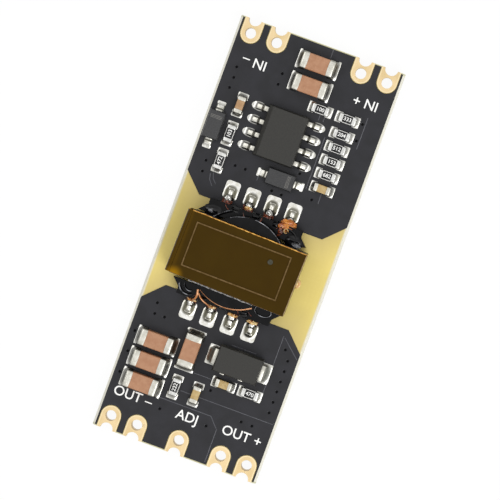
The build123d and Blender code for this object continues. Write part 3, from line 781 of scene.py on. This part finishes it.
# %% Controller
chip = layout("controller_body")[0]
lead_pitch = 1.27
done(dress("controller_body", "controller_moulding", 0.05), epoxy, "mould_compound", "controller_body")
lead_places = [
    spot(chip.x, chip.y + (row - 1.5) * lead_pitch, turn) for row in range(4) for turn in (0, 180)
]
lead = bent_strip([(1.7, 0.75), (2.3, 0.75), (2.5, 0.13), (3.02, 0.11)], width=0.42, thickness=0.2, bend=0.1)
done(join(copy_at(lead, lead_places), "controller_gull_leads"), tin, "tin_plating", "controller_leads")


def lead_curve(tip, knee, half_foot, half_land, rim, climb, run_beyond=0.35, run_behind=0.3):
    """The height of solder round a flat foot that points along +X, and how far it runs out."""
    def height(x, y):
        beside = max(abs(y) - half_foot, 0) / (half_land - half_foot)
        beyond = max(x - tip, 0) / run_beyond
        behind = max(knee - x, 0) / run_behind
        far = min(math.sqrt(beside ** 2 + beyond ** 2 + behind ** 2), 1)
        return rim + (climb - rim) * (1 - far) ** 1.5
    return height


shape = pool(2.1, 3.55, width=0.84, corner=(0.7, 0.41), height=lead_curve(
    tip=3.0, knee=2.45, half_foot=0.19, half_land=0.42, rim=LAND_RIM, climb=0.2,
))
done(join(copy_at(shape, lead_places), "controller_solder_pools"), leg_solder, "solder", "controller_solder")

# %% [markdown]
# The two small diodes are flat packages with a strip lead at each end. Three thin lines beside one
# end mark the cathode. A laser has burnt them into the moulding, so they are only a shade paler.

# %% Small diodes
diode_pools = []
bands = []
for name in ("clamp_diode", "supply_diode"):
    body = name + "_body"
    middle, body_top, turn = layout(body)
    done(dress(body, name + "_moulding", 0.04), diode_epoxy, "mould_compound", body)
    for offset in (0.62, 0.74, 0.86):
        bpy.ops.mesh.primitive_cube_add(size=1, location=(offset * MM, 0, 0))
        line = bpy.context.object
        line.scale = Vector((0.045, 1.1, 0.008)) * MM
        settle(line, "band")
        line.matrix_world = spot(middle.x, middle.y, turn, body_top)
        bands.append(soften(settle(line, "band"), 0.002, 1))
    lead = bent_strip(
        [(1.1, 0.45), (1.43, 0.45), (1.55, 0.1), (1.86, 0.08)], width=0.6, thickness=0.15, bend=0.06,
    )
    done(join(copy_at(lead, ends_of(body)), name + "_flat_leads"), tin, "tin_plating", name + "_leads")
    shape = pool(1.3, 2.25, width=0.78, corner=(0.08, 0.08), height=lead_curve(
        tip=1.85, knee=1.5, half_foot=0.28, half_land=0.39, rim=LAND_RIM, climb=0.16,
    ))
    diode_pools += copy_at(shape, ends_of(body))
band_finish = grain(finish("laser_marked_epoxy", "#6c6a66", 0.6), "#5c5a57", "#7c7a75", 0.1, (0.5, 0.7))
done(join(bands, "cathode_bands"), band_finish, "mould_compound")

# %% [markdown]
# The rectifier is the largest moulding. Its leads are wide straps folded down its ends and under
# it, and a fillet shows a dark hollow in front of each, with a bright rim round the land. Two cut
# ends of the frame that held it in the mould stand out of one long side.

# %% Rectifier
low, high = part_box("rectifier_body")
middle = (low + high) / 2 / MM
done(dress("rectifier_body", "rectifier_moulding", 0.05), epoxy, "mould_compound", "rectifier_body")
places = [spot(middle.x, middle.y, half) for half in (0, 180)]
strap = bent_strip([(1.9, 1.2), (2.45, 1.2), (2.45, 0.1), (1.6, 0.1)], width=1.45, thickness=0.2, bend=0.12)
done(join(copy_at(strap, places), "rectifier_straps"), tin, "tin_plating", "rectifier_leads")
shape = pool(1.95, 3.05, width=1.88, corner=(0.06, 0.06), height=chip_curve(
    half_length=2.55, half_width=0.74, reach=0.5, margin=0.2, rim=LAND_RIM, climb=0.5,
))
diode_pools += copy_at(shape, places)
done(join(diode_pools, "diode_solder_pools"), pool_solder, "solder", "diode_solder")
stubs = []
for along in (-1.13, 0.63):
    bpy.ops.mesh.primitive_cube_add(size=1)
    stub = bpy.context.object
    stub.scale = Vector((0.4, 0.1, 0.16)) * MM
    stub.location = Vector((middle.x + along, low.y / MM + 0.02, middle.z + 0.3)) * MM
    stubs.append(soften(settle(stub, "stub"), 0.02, 2))
done(join(stubs, "rectifier_tie_bar_ends"), tin, "tin_plating")

# %% [markdown]
# The transformer's core is two ferrite halves with ground faces and slightly broken edges. The
# former between them is black phenolic with a rail of pins on each side. As on the real one, the
# core sits a little turned in its former, so its tape and edges are placed with core_turn.

# %% Core and former
for side in ("lower", "upper"):
    done(dress(f"{side}_core_half", f"{side}_core_ground", 0.06), ferrite, "ferrite", f"{side}_core_half")
done(dress("coil_former", "coil_former_moulding", 0.04), phenolic, "former_plastic", "coil_former")
done(dress("coil_tape", "coil_tape_wrap", 0.02), sleeve, "coil_tape", "coil_tape")
coil, flange_top, _ = layout("coil_former")
core_turn = -1.5
print("the transformer stands at", round(coil.x, 2), round(coil.y, 2), "mm")

# %% [markdown]
# The tape goes twice round the core, and is made as one loop as thick as both turns. It is bent
# like the leads, as a strip along a path, and stands off the left end in a shallow bow. The path
# ends a hundredth of a millimetre from its start, so the strip closes into a loop.

# %% Core tape
half_core = 5.5
tape_low = 2.1 - top
tape_high = 7.1 - top
bow = [(0.0, 0.0), (0.17, 0.05), (0.31, 0.18), (0.39, 0.42), (0.42, 0.95)]
loop = [(-half_core - out, tape_high - down) for out, down in bow]
loop += [(-half_core - out, tape_low + up) for out, up in bow[::-1]]
loop += [(half_core, tape_low), (half_core, tape_high), (-half_core + 0.01, tape_high)]
wrap = bent_strip(loop, width=5.92, thickness=0.11, bend=0.07, edge=0.02)
[wrap] = copy_at(wrap, [spot(coil.x, coil.y, core_turn)])
done(settle(wrap, "core_tape_wrap"), tape_finish, "core_tape", "core_tape")

# %% [markdown]
# A thin frame and a dot are pressed through the tape on the core's top. They are flat marks, so
# they are a plane without its middle and a disc, both only as thick as a line of ink.

# %% Marks on the tape
mark_height = 7.23
mark_thickness = 0.012


def frame_mark(half_x, half_y, line, place, name):
    """A thin raised frame: a plane, inset, without its middle, made solid."""
    bpy.ops.mesh.primitive_plane_add(size=1)
    piece = bpy.context.object
    piece.scale = (2 * half_x * MM, 2 * half_y * MM, 1)
    settle(piece, name)
    pick(piece, "FACE", lambda p: True)
    bpy.ops.mesh.inset(thickness=line * MM)
    bpy.ops.mesh.delete(type="FACE")
    bpy.ops.object.mode_set(mode="OBJECT")
    modify(piece, "SOLIDIFY", thickness=mark_thickness * MM, offset=0)
    piece.matrix_world = place
    return settle(piece, name)


mark_finish = grain(finish("pressed_mark", "#665030", 0.4, IOR=1.14), "#5c4828", "#6e5838", 0.3, (0.3, 0.45))
mark_place = spot(coil.x - 0.17, coil.y + 0.12, core_turn + 0.8, mark_height)
done(frame_mark(4.57, 2.1, 0.12, mark_place, "tape_frame_mark"), mark_finish, "core_tape")
bpy.ops.mesh.primitive_cylinder_add(vertices=32, radius=0.24 * MM, depth=mark_thickness * MM)
dot = bpy.context.object
dot.matrix_world = spot(2.4, -0.14, 0, mark_height)
dot_finish = grain(finish("dot_mark", "#46453a", 0.4, IOR=1.1), "#403e32", "#4c4b42", 0.3, (0.3, 0.4))
done(settle(dot, "tape_dot_mark"), dot_finish, "core_tape")

# %% [markdown]
# A bead of amber resin holds the core's two halves together at its right end. It is a drop that
# ran down the joint, so it is a sphere stretched along Z and half sunk in the ferrite.

# %% Resin bead
bpy.ops.mesh.primitive_uv_sphere_add(segments=24, ring_count=16, radius=1)
bead = bpy.context.object
bead.scale = Vector((0.36, 0.48, 0.9)) * MM
bead.location = Vector((coil.x + 5.62, coil.y, 4.6)) * MM
done(smooth(settle(bead, "resin_bead"), 80), resin, "resin", "glue_bead")

# %% [markdown]
# Each pin leaves the rail, drops to its land and runs out along it, under a thick hollow skin of
# solder with a bright outer end.

# %% Pins and their solder
pin_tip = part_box("primary_pins")[1].y / MM - coil.y
pin_offsets = (-3, -1, 1, 3)
pin_places = [
    spot(coil.x, coil.y, turn) @ Matrix.Translation(Vector((0, across, 0)) * MM)
    for turn in (90, -90) for across in pin_offsets
]
pin_path = [(3.9, 0.75), (5.05, 0.75), (5.42, 0.14), (pin_tip - 0.1, 0.12)]
for node, places in (("primary_pins", pin_places[:4]), ("secondary_pins", pin_places[4:])):
    pin = bent_strip(pin_path, width=0.6, thickness=0.24, bend=0.15, edge=0.05)
    done(join(copy_at(pin, places), node + "_formed"), tin, "tin_plating", node)


def pin_curve(x, y, tip=5.75, knee=5.3, half_ridge=0.08, rim=0.07, climb=0.29):
    """The height of the solder over and round a pin's foot: a mound that runs out to the land's rim."""
    beside = max(abs(y) - half_ridge, 0) / 0.56
    beyond = max(x - tip, 0) / 0.62
    behind = max(knee - x, 0) / 0.45
    far = min(math.sqrt(beside ** 2 + beyond ** 2 + behind ** 2), 1)
    return rim + climb * (1 - far ** 1.4) ** 1.5


shape = pool(5.0, 6.7, width=1.36, corner=(0.28, 0.28), height=pin_curve, steps=(24, 20))
done(join(copy_at(shape, pin_places), "pin_solder_pools"), fluxed, "solder", "transformer_solder")

# %% [markdown]
# The winding wires are thin and round, and bend in smooth curves. The quickest way to such a form
# is a curve with a round bevel, turned into a mesh when its line is right. Each pin has burnt
# wire wound round its root, and one loose copper wire lies in a free arc over the output rail.


# %% Helpers: wires
def wire(points, radius, name, sides=3):
    """A round wire along a smooth line through these points, in mm, as a closed mesh tube."""
    curve = bpy.data.curves.new(name, "CURVE")
    curve.dimensions = "3D"
    spline = curve.splines.new("NURBS")
    spline.points.add(len(points) - 1)
    for point, target in zip(spline.points, points):
        point.co = (*(Vector(target) * MM), 1)
    spline.order_u = 3
    spline.use_endpoint_u = True
    curve.bevel_depth = radius * MM
    curve.bevel_resolution = sides
    curve.resolution_u = 6
    curve.use_fill_caps = True
    piece = bpy.data.objects.new(name, curve)
    bpy.context.scene.collection.objects.link(piece)
    take(piece)
    bpy.ops.object.convert(target="MESH")
    return smooth(bpy.context.object, 80)


def about_coil(x, y, z):
    """A place given from the transformer's middle, in mm above the board's underside."""
    return (coil.x + x, coil.y + y, z)


def arc_points(centre, radius, start, stop, z, steps=8, squash=1.0):
    """Points along an arc about a place, in mm and degrees. Squash makes it an oval."""
    points = []
    for step in range(steps + 1):
        angle = math.radians(start + (stop - start) * step / steps)
        points.append(about_coil(
            centre[0] + radius * math.cos(angle), centre[1] + radius * squash * math.sin(angle), z,
        ))
    return points


def wrapped_root(x_start, turns, half_wide, half_tall, radius, steps=8, slack=1.15):
    """A wire wound a few turns round a pin that runs along +X, a little larger than the pin."""
    points = []
    for step in range(turns * steps + 1):
        angle = step / steps * 2 * math.pi
        points.append((
            x_start + step / steps * radius * 2.1,
            half_wide * math.cos(angle) * slack,
            0.75 + half_tall * math.sin(angle) * slack,
        ))
    return wire(points, radius, "wrap")


# %% Wire ends and the free arc
wraps = copy_at(wrapped_root(4.66, turns=2, half_wide=0.4, half_tall=0.24, radius=0.07), pin_places)
done(join(wraps, "winding_ends_wrapped"), burnt, "winding_wire", "winding_ends")
lead_out = wire(arc_points((0, 0), 4.33, -125, -55, 3.58), 0.11, "lead_out", 4)
done(settle(lead_out, "lead_out_arc"), wire_finish, "winding_wire", "lead_out_wire")

# %% [markdown]
# The cut edge of the tape is a frayed amber line on one side. On the other side the ground edge of
# the core shows below it, where it catches the light, as a broken light grey line: a painted
# highlight. Both are thin wires with a wandering path.


# %% Edges of tape and core, with painted highlights
def on_core(x, y, z):
    """A place along the core, in the core's own turned frame, in mm."""
    return tuple(spot(coil.x, coil.y, core_turn, 0) @ (Vector((x, y, z)) * MM) / MM)


def frayed(y, z, x_low, x_high, radius, seed, name, steps=40):
    """A thin wandering line along the core."""
    points = []
    for step in range(steps + 1):
        x = x_low + (x_high - x_low) * step / steps
        wander = noise.noise(Vector((x * 2.2, seed, 0)))
        lift = noise.noise(Vector((x * 2.7, 0, seed)))
        points.append(on_core(x, y + 0.05 * wander, z + 0.06 * lift))
    return wire(points, radius, name, 2)


cut_finish = grain(finish("cut_tape_edge", "#c98a2a", 0.25), "#9a6416", "#e6b050", 0.3, (0.2, 0.4))
done(frayed(2.99, 7.16, -5.5, 5.5, 0.05, 3.0, "tape_cut_edge"), cut_finish, "core_tape")
# A painted highlight along the core's ground edge.
done(frayed(-3.04, 6.95, -3.6, 2.6, 0.06, 8.0, "core_edge_highlight"), painted_edge_highlight, "ferrite")
# A painted highlight: a pale line along the tape's bend over the core's right end.
fold_highlight_finish = grain(finish("tape_fold_highlight", "#9a7c50", 0.3), "#86683c", "#b0946a", 0.4, (0.25, 0.4))
fold_highlight = wire([on_core(5.53, y, 7.19) for y in (-2.9, 0, 2.9)], 0.03, "tape_fold_highlight")
done(fold_highlight, fold_highlight_finish, "core_tape")

# %% [markdown]
# Round the transformer the real one is untidy: black tape is folded down over the rails, and flux
# and enamel have melted into lumps. Such a form has no edge to follow, so it is a sphere,
# flattened and then dented by noise. Every lump has a seed of its own, so no two are alike.


# %% Tape folds
def lump(place, size, roughness, seed, name):
    """A rounded lump of this size in mm, dented by noise."""
    bpy.ops.mesh.primitive_ico_sphere_add(subdivisions=4, radius=MM)
    piece = bpy.context.object
    for vertex in piece.data.vertices:
        point = vertex.co / MM
        coarse = noise.noise(point * 1.6 + Vector((seed, 0, 0)))
        fine_dent = noise.noise(point * 3.5 + Vector((0, seed, 0)))
        swell = 1 + roughness * (coarse + 0.5 * fine_dent)
        vertex.co = Vector((point.x * size[0], point.y * size[1], point.z * size[2])) * swell * MM
    piece.location = Vector(about_coil(*place)) * MM
    return smooth(settle(piece, name), 80)


def lumps(name, *rows):
    """Several lumps of one finish. A row is a place from the coil, a size, a roughness and a seed."""
    return [lump(*row, name) for row in rows]


folds = []
for side in (1, -1):
    for across in (-2.0, 0.0, 2.0):
        seed = 3.0 + side + across
        folds.append(lump((across, side * 4.3, 2.75), (0.95, 0.38, 0.42), 0.3, seed, "fold"))
folds += lumps(
    "fold",
    ((-3.85, 3.6, 3.2), (0.95, 0.6, 0.45), 0.15, 1.0),
    ((3.95, 3.45, 3.2), (0.95, 0.6, 0.5), 0.2, 2.0),
    ((-3.7, -3.85, 3.0), (0.7, 0.6, 0.4), 0.12, 3.0),
    ((3.85, -3.85, 3.0), (0.72, 0.6, 0.4), 0.15, 4.0),
)
done(join(folds, "tape_folds"), sleeve, "coil_tape")

# %% [markdown]
# Wires in black sleeves loop from the coil to the outer pins. Their glossy tops catch the light in
# thin lines. A highlight so fine is lost in a small render, so it is painted: pale threads of their
# own, a little raised, lie along the tops, and two flat pale lumps by the coil are painted
# highlights too.

# %% Sleeved loops and their painted highlights
loops = [
    wire(arc_points((-3.55, -3.45), 0.95, 185, 300, 3.45), 0.13, "loop"),
    wire(arc_points((-3.45, -3.4), 0.62, 185, 300, 3.5), 0.11, "loop"),
    wire(arc_points((3.55, -3.5), 0.82, 150, 400, 3.45, squash=0.6), 0.1, "loop"),
    wire(arc_points((0, 0), 4.75, 118, 146, 3.45), 0.16, "loop"),
    wire(arc_points((0, 0), 5.1, 116, 141, 3.2), 0.14, "loop"),
    wire(arc_points((3.2, 3.2), 1.1, 20, 120, 3.45), 0.13, "loop"),
]
done(join(loops, "sleeved_loops"), sleeve, "coil_tape")
# Painted highlights along the loops' tops, and two flat pale lumps by the coil.
streaks = [
    wire(arc_points((-3.55, -3.45), 0.98, 192, 292, 3.6), 0.055, "streak"),
    wire(arc_points((-3.45, -3.4), 0.64, 195, 290, 3.62), 0.04, "streak"),
    wire(arc_points((3.55, -3.5), 0.82, 150, 400, 3.54, squash=0.6), 0.03, "streak"),
    wire(arc_points((0, 0), 4.78, 121, 141, 3.6), 0.035, "streak"),
    wire(arc_points((0, 0), 5.12, 119, 131, 3.33), 0.04, "streak"),
    wire([about_coil(-4.35, -4.55, 2.75), about_coil(-3.4, -4.62, 2.75)], 0.04, "streak"),
    wire([about_coil(3.5, -4.35, 2.9), about_coil(4.1, -4.42, 2.85)], 0.04, "streak"),
]
streaks += lumps(
    "streak",
    ((-4.0, 3.5, 3.62), (0.3, 0.13, 0.05), 0.2, 5.0),
    ((4.35, 3.15, 3.62), (0.4, 0.18, 0.05), 0.2, 7.0),
)
done(join(streaks, "painted_highlight_streaks"), painted_highlight, "coil_tape")

# %% [markdown]
# Two fine strands run from the coil to each pin. No two lie alike, so each leans by a random
# amount, from a fixed seed that gives the same wires each time. A thin pale line on the former's
# round rim is a painted highlight, and two thicker wires go to the output pins at the left.

# %% Fine wires, painted rim highlights and tails
fine = []
random.seed(11)
for side in (1, -1):
    for across in pin_offsets:
        for strand in range(2):
            lean = random.uniform(-0.35, 0.35)
            fine.append(wire([
                about_coil(across * 0.8 + lean, side * 4.0, 3.5 + random.uniform(-0.2, 0.2)),
                about_coil(across + lean * 1.6, side * 4.4, 3.35 + random.uniform(-0.2, 0.3)),
                about_coil(across + lean, side * 4.75, 2.9),
                about_coil(across + lean * 0.3, side * 5.0, 2.6),
            ], 0.035, "fine"))
done(join(fine, "fine_winding_wires"), burnt, "winding_wire")
# Painted highlights along the former's round rim.
rim_highlights = [
    wire(arc_points((0, 0), 4.16, start, stop, flange_top, 24), radius, "rim")
    for start, stop, radius in ((44, 88, 0.035), (96, 120, 0.02))
]
done(join(rim_highlights, "flange_rim_highlights"), painted_highlight, "former_plastic")
tails = [
    wire([about_coil(*point) for point in points], radius, "tail")
    for points, radius in (
        (((-2.7, -3.6, 3.9), (-2.55, -4.2, 3.8), (-2.7, -4.6, 3.5), (-2.95, -4.85, 2.9)), 0.1),
        (((-2.5, -3.95, 3.75), (-2.2, -4.35, 3.75), (-1.6, -4.6, 3.5), (-1.1, -4.8, 2.9)), 0.08),
    )
]
done(join(tails, "secondary_wire_tails"), wire_finish, "winding_wire")

# %% [markdown]
# Soldering leaves traces at the pins: orange scorched enamel at one corner, dark crusts of burnt
# enamel, amber drops of flux, and a small knob of solder where a pin meets its rail.

# %% Scorched enamel, crusts, flux and solder roots
scorches = lumps(
    "scorch",
    ((3.0, 4.75, 2.9), (0.72, 0.48, 0.34), 0.3, 6.0),
    ((2.75, 4.35, 3.3), (0.55, 0.42, 0.25), 0.35, 7.0),
    ((3.35, 4.35, 3.2), (0.36, 0.36, 0.25), 0.35, 8.0),
)
done(join(scorches, "scorched_enamel"), scorched, "resin")
crusts = lumps(
    "crust",
    ((2.55, 3.95, 3.4), (0.3, 0.5, 0.2), 0.4, 9.0),
    ((-3.0, 4.62, 2.85), (0.3, 0.25, 0.2), 0.5, 10.0),
    ((-0.85, 4.55, 2.8), (0.34, 0.22, 0.18), 0.5, 11.0),
    ((0.85, 4.5, 2.85), (0.34, 0.25, 0.18), 0.5, 12.0),
)
done(join(crusts, "burnt_crusts"), burnt, "winding_wire")
residues = lumps(
    "residue",
    ((-0.95, 4.8, 2.78), (0.34, 0.2, 0.16), 0.4, 9.0),
    ((-2.95, -4.78, 2.75), (0.4, 0.14, 0.12), 0.4, 15.0),
    ((-1.0, -4.75, 2.78), (0.36, 0.16, 0.14), 0.4, 12.0),
    ((1.05, -4.82, 2.8), (0.42, 0.16, 0.14), 0.4, 10.0),
    ((2.95, -4.8, 2.8), (0.48, 0.17, 0.15), 0.4, 11.0),
)
residues.append(wire(arc_points((3.0, 4.1), 0.2, 0, 320, 3.62), 0.045, "residue"))
done(join(residues, "flux_residue"), resin, "resin")
roots = []
for side in (1, -1):
    for index, across in enumerate(pin_offsets):
        seed = 20.0 + 3 * index + 11 * side
        wide = 0.3 + 0.06 * noise.noise(Vector((seed, 0, 0)))
        roots.append(lump((across, side * 5.08, 2.58), (wide, 0.3, 0.17), 0.3, seed, "root"))
done(join(roots, "solder_roots"), solder, "solder")

# %% [markdown]
# Small dark dots on the board are vias, plated holes under the mask: a ring of lacquer with a
# dark middle. Each is two flat discs whose tops are inset and pressed in. Their places were read
# from the photograph, and the shift takes them from there to the model's frame.


# %% Vias
def dished_disc(radius, depth, rim, sink, name):
    """A flat disc whose top is pressed in inside its rim, in mm."""
    bpy.ops.mesh.primitive_cylinder_add(vertices=20, radius=radius * MM, depth=depth * MM)
    piece = settle(bpy.context.object, name)
    pick(piece, "FACE", lambda p: p.z > 0.01)
    bpy.ops.mesh.inset(thickness=rim * MM)
    bpy.ops.transform.translate(value=(0, 0, -sink * MM))
    return leave(piece)


shift = Vector((-0.08, 0.06))
via_spots = [
    (-6.7, 15.3), (-6.62, 14.3), (-6.67, 13.3), (-2.56, 16.15), (-2.58, 15.1), (5.93, 14.3), (5.92, 12.7),
    (-2.73, 6.77), (-3.72, 6.77), (-6.37, 5.27), (-6.4, 6.31), (3.94, 6.23), (0.21, 5.76), (1.17, 5.7),
    (2.09, 8.1), (-6.1, -7.51), (-5.04, -8.52), (-6.0, -8.52), (-7.18, -10.63), (-7.15, -12.6),
    (-7.19, -14.64), (6.42, -7.51), (6.97, -8.41), (7.0, -9.42), (7.0, -10.43), (7.0, -11.41),
    (7.0, -12.42), (7.0, -13.46), (1.25, -13.4), (4.88, -15.13), (5.94, -15.15), (-2.56, -16.59),
    (1.98, -16.6),
]
via_places = [spot(x + shift.x, y + shift.y) for x, y in via_spots]
ring = smooth(dished_disc(0.19, 0.04, rim=0.06, sink=0.012, name="via"))
done(join(copy_at(ring, via_places), "via_rings"), mask, "solder_mask")
middle = dished_disc(0.13, 0.034, rim=0.03, sink=0.004, name="via_middle")
done(join(copy_at(middle, via_places), "via_middles"), hole_dark, "solder_mask")
print(len(via_places), "vias")

# %% [markdown]
# Thin lighter lines on the board are the edges of copper areas, which the mask follows as low
# ribs. A rib is a thin rod laid along the line and sunk into the mask, so that only its back
# stands out, a few hundredths of a millimetre, and catches the light.

# %% Trace edges
trace_lines = [
    [(6.2, 15), (6.2, 12)], [(3.1, 12), (3.1, 7)], [(-1.3, -14.36), (7.7, -14.36)],
    [(-3, -15.6), (2.1, -15.6), (3.0, -16.6), (3.0, -19.7)], [(-0.9, -12.4), (1, -12.4)],
    [(5.85, -6.4), (5.85, -12)], [(6.0, -6.5), (7.7, -8.0)], [(1.7, -8.8), (4.0, -8.8)],
    [(1.1, 19.8), (1.1, 19.0)], [(-5.6, 5.3), (-5.5, 4.8), (-5.1, 4.3)],
    [(-5.35, 5.4), (-5.2, 4.95), (-4.85, 4.6)], [(2.0, 14), (2.0, 13.3)], [(2.45, 14), (2.45, 13.3)],
    [(4.6, 7), (4.6, 6.1)], [(-1.4, 6.9), (-1.4, 6.2)],
]
edge_finish = grain(finish("mask_over_copper_edge", "#45454b", 0.4), "#424248", "#4e4e54", 0.6, (0.34, 0.44))
rib_radius = 0.06
rib_depth = 0.042
ribs = []
for line in trace_lines:
    for before, after in zip(line, line[1:]):
        start = Vector(before) + shift
        stop = Vector(after) + shift
        run = stop - start
        bpy.ops.mesh.primitive_cylinder_add(
            vertices=12, radius=rib_radius * MM, depth=(run.length + rib_radius) * MM,
        )
        rib = bpy.context.object
        middle = (start + stop) / 2
        turn = math.degrees(math.atan2(run.y, run.x))
        lying = Matrix.Rotation(math.radians(90), 4, "Y")
        rib.matrix_world = spot(middle.x, middle.y, turn, top - rib_depth) @ lying
        ribs.append(smooth(settle(rib, "rib")))
done(join(ribs, "copper_edge_ribs"), edge_finish, "solder_mask")

# %% [markdown]
# White print names the terminals. The words are generic ones for a converter's input, output and
# adjustment, at the places where such boards carry them.

# %% Terminal names
labels = [
    ("IN –", -5.35, 16.3, 180), ("IN +", 5.45, 16.3, 180),
    ("OUT –", -5.35, -16.3, 0), ("ADJ", 0.0, -16.4, 0), ("OUT +", 5.3, -16.3, 0),
]
letter_size = 1.28
words = [
    printed(label, letter_size, spot(x, y, turn, top + 0.004), "word", 0.006) for label, x, y, turn in labels
]
done(join(words, "terminal_names"), ink, "solder_mask")

# %% [markdown]
# The module lies on a white table in a light tent. The floor is white paper. For the camera and
# for reflections it is mostly plain white, as an overexposed background is, and it keeps a part
# of the soft shadow.

# %% Floor
bpy.ops.mesh.primitive_plane_add(size=1.2, location=(0, 0, -0.02 * MM))
floor = bpy.context.object
floor.name = "floor"
paper = finish("white_paper", "#f6f6f4", 0.9)
tree = paper.node_tree
plain_white = 0.94
rays = add(tree, "ShaderNodeLightPath").outputs
seen = rays["Is Camera Ray"]
for kind in ("Is Glossy Ray", "Is Transmission Ray"):
    seen = add(tree, "ShaderNodeMath", {0: seen, 1: rays[kind]}, operation="MAXIMUM")
share = add(tree, "ShaderNodeMath", {0: seen, 1: plain_white}, operation="MULTIPLY")
white = add(tree, "ShaderNodeEmission", {"Color": (1, 1, 1, 1), "Strength": 1.0})
both = add(tree, "ShaderNodeMixShader", {0: share, 1: tree.nodes["Principled BSDF"], 2: white})
tree.links.new(both.outputs["Shader"], tree.nodes["Material Output"].inputs["Surface"])
floor.data.materials.append(paper)

# %% [markdown]
# The tent is a world that is bright above and darker towards the horizon, most of all at the left,
# so that flat metal shines and sloping metal is darker. The camera sees plain white instead. Two
# large soft lamps stand overhead, a strong one at the right and a weak one at the left.

# %% Light and world
world = bpy.data.worlds.new("light_tent")
bpy.context.scene.world = world
world.use_nodes = True
tree = world.node_tree
sky = add(tree, "ShaderNodeTexCoord").outputs["Generated"]
direction = add(tree, "ShaderNodeSeparateXYZ", {"Vector": sky})
lamp_side = add(tree, "ShaderNodeVectorMath", {0: sky, 1: (0.85, -0.53, 0)}, operation="DOT_PRODUCT")
horizon = add(tree, "ShaderNodeMapRange", {
    "Value": lamp_side, "From Min": -1.0, "From Max": 1.0, "To Min": 0.28, "To Max": 0.6,
})
above = add(tree, "ShaderNodeMath", {0: direction.outputs["Z"], 1: 0.0}, operation="MAXIMUM")
rise = add(tree, "ShaderNodeMath", {0: above, 1: 1.5}, operation="POWER")
tent = add(tree, "ShaderNodeMixRGB", {"Fac": rise, "Color1": horizon, "Color2": (1.04, 1.04, 1.04, 1)})
rays = add(tree, "ShaderNodeLightPath").outputs
level = add(tree, "ShaderNodeMixRGB", {"Fac": rays["Is Camera Ray"], "Color1": tent, "Color2": (1, 1, 1, 1)})
background = tree.nodes["Background"]
tree.links.new(level.outputs["Color"], background.inputs["Color"])
background.inputs["Strength"].default_value = 1.0

lamp_size = 0.3
for name, place, energy in (
    ("right_soft_box", (0.26, -0.16, 0.45), 1.25), ("left_soft_box", (-0.3, 0.1, 0.5), 0.5),
):
    lamp_data = bpy.data.lights.new(name, "AREA")
    lamp_data.shape = "SQUARE"
    lamp_data.size = lamp_size
    lamp_data.energy = energy
    lamp = bpy.data.objects.new(name, lamp_data)
    lamp.location = place
    lamp.rotation_euler = (-Vector(place)).to_track_quat("-Z", "Y").to_euler()
    bpy.context.scene.collection.objects.link(lamp)
    print(name, energy, "W")
bpy.context.scene.view_settings.view_transform = "Standard"

# %% [markdown]
# The number of pieces made is printed at the end.

# %% Pieces made
print("pieces made:", len(made))
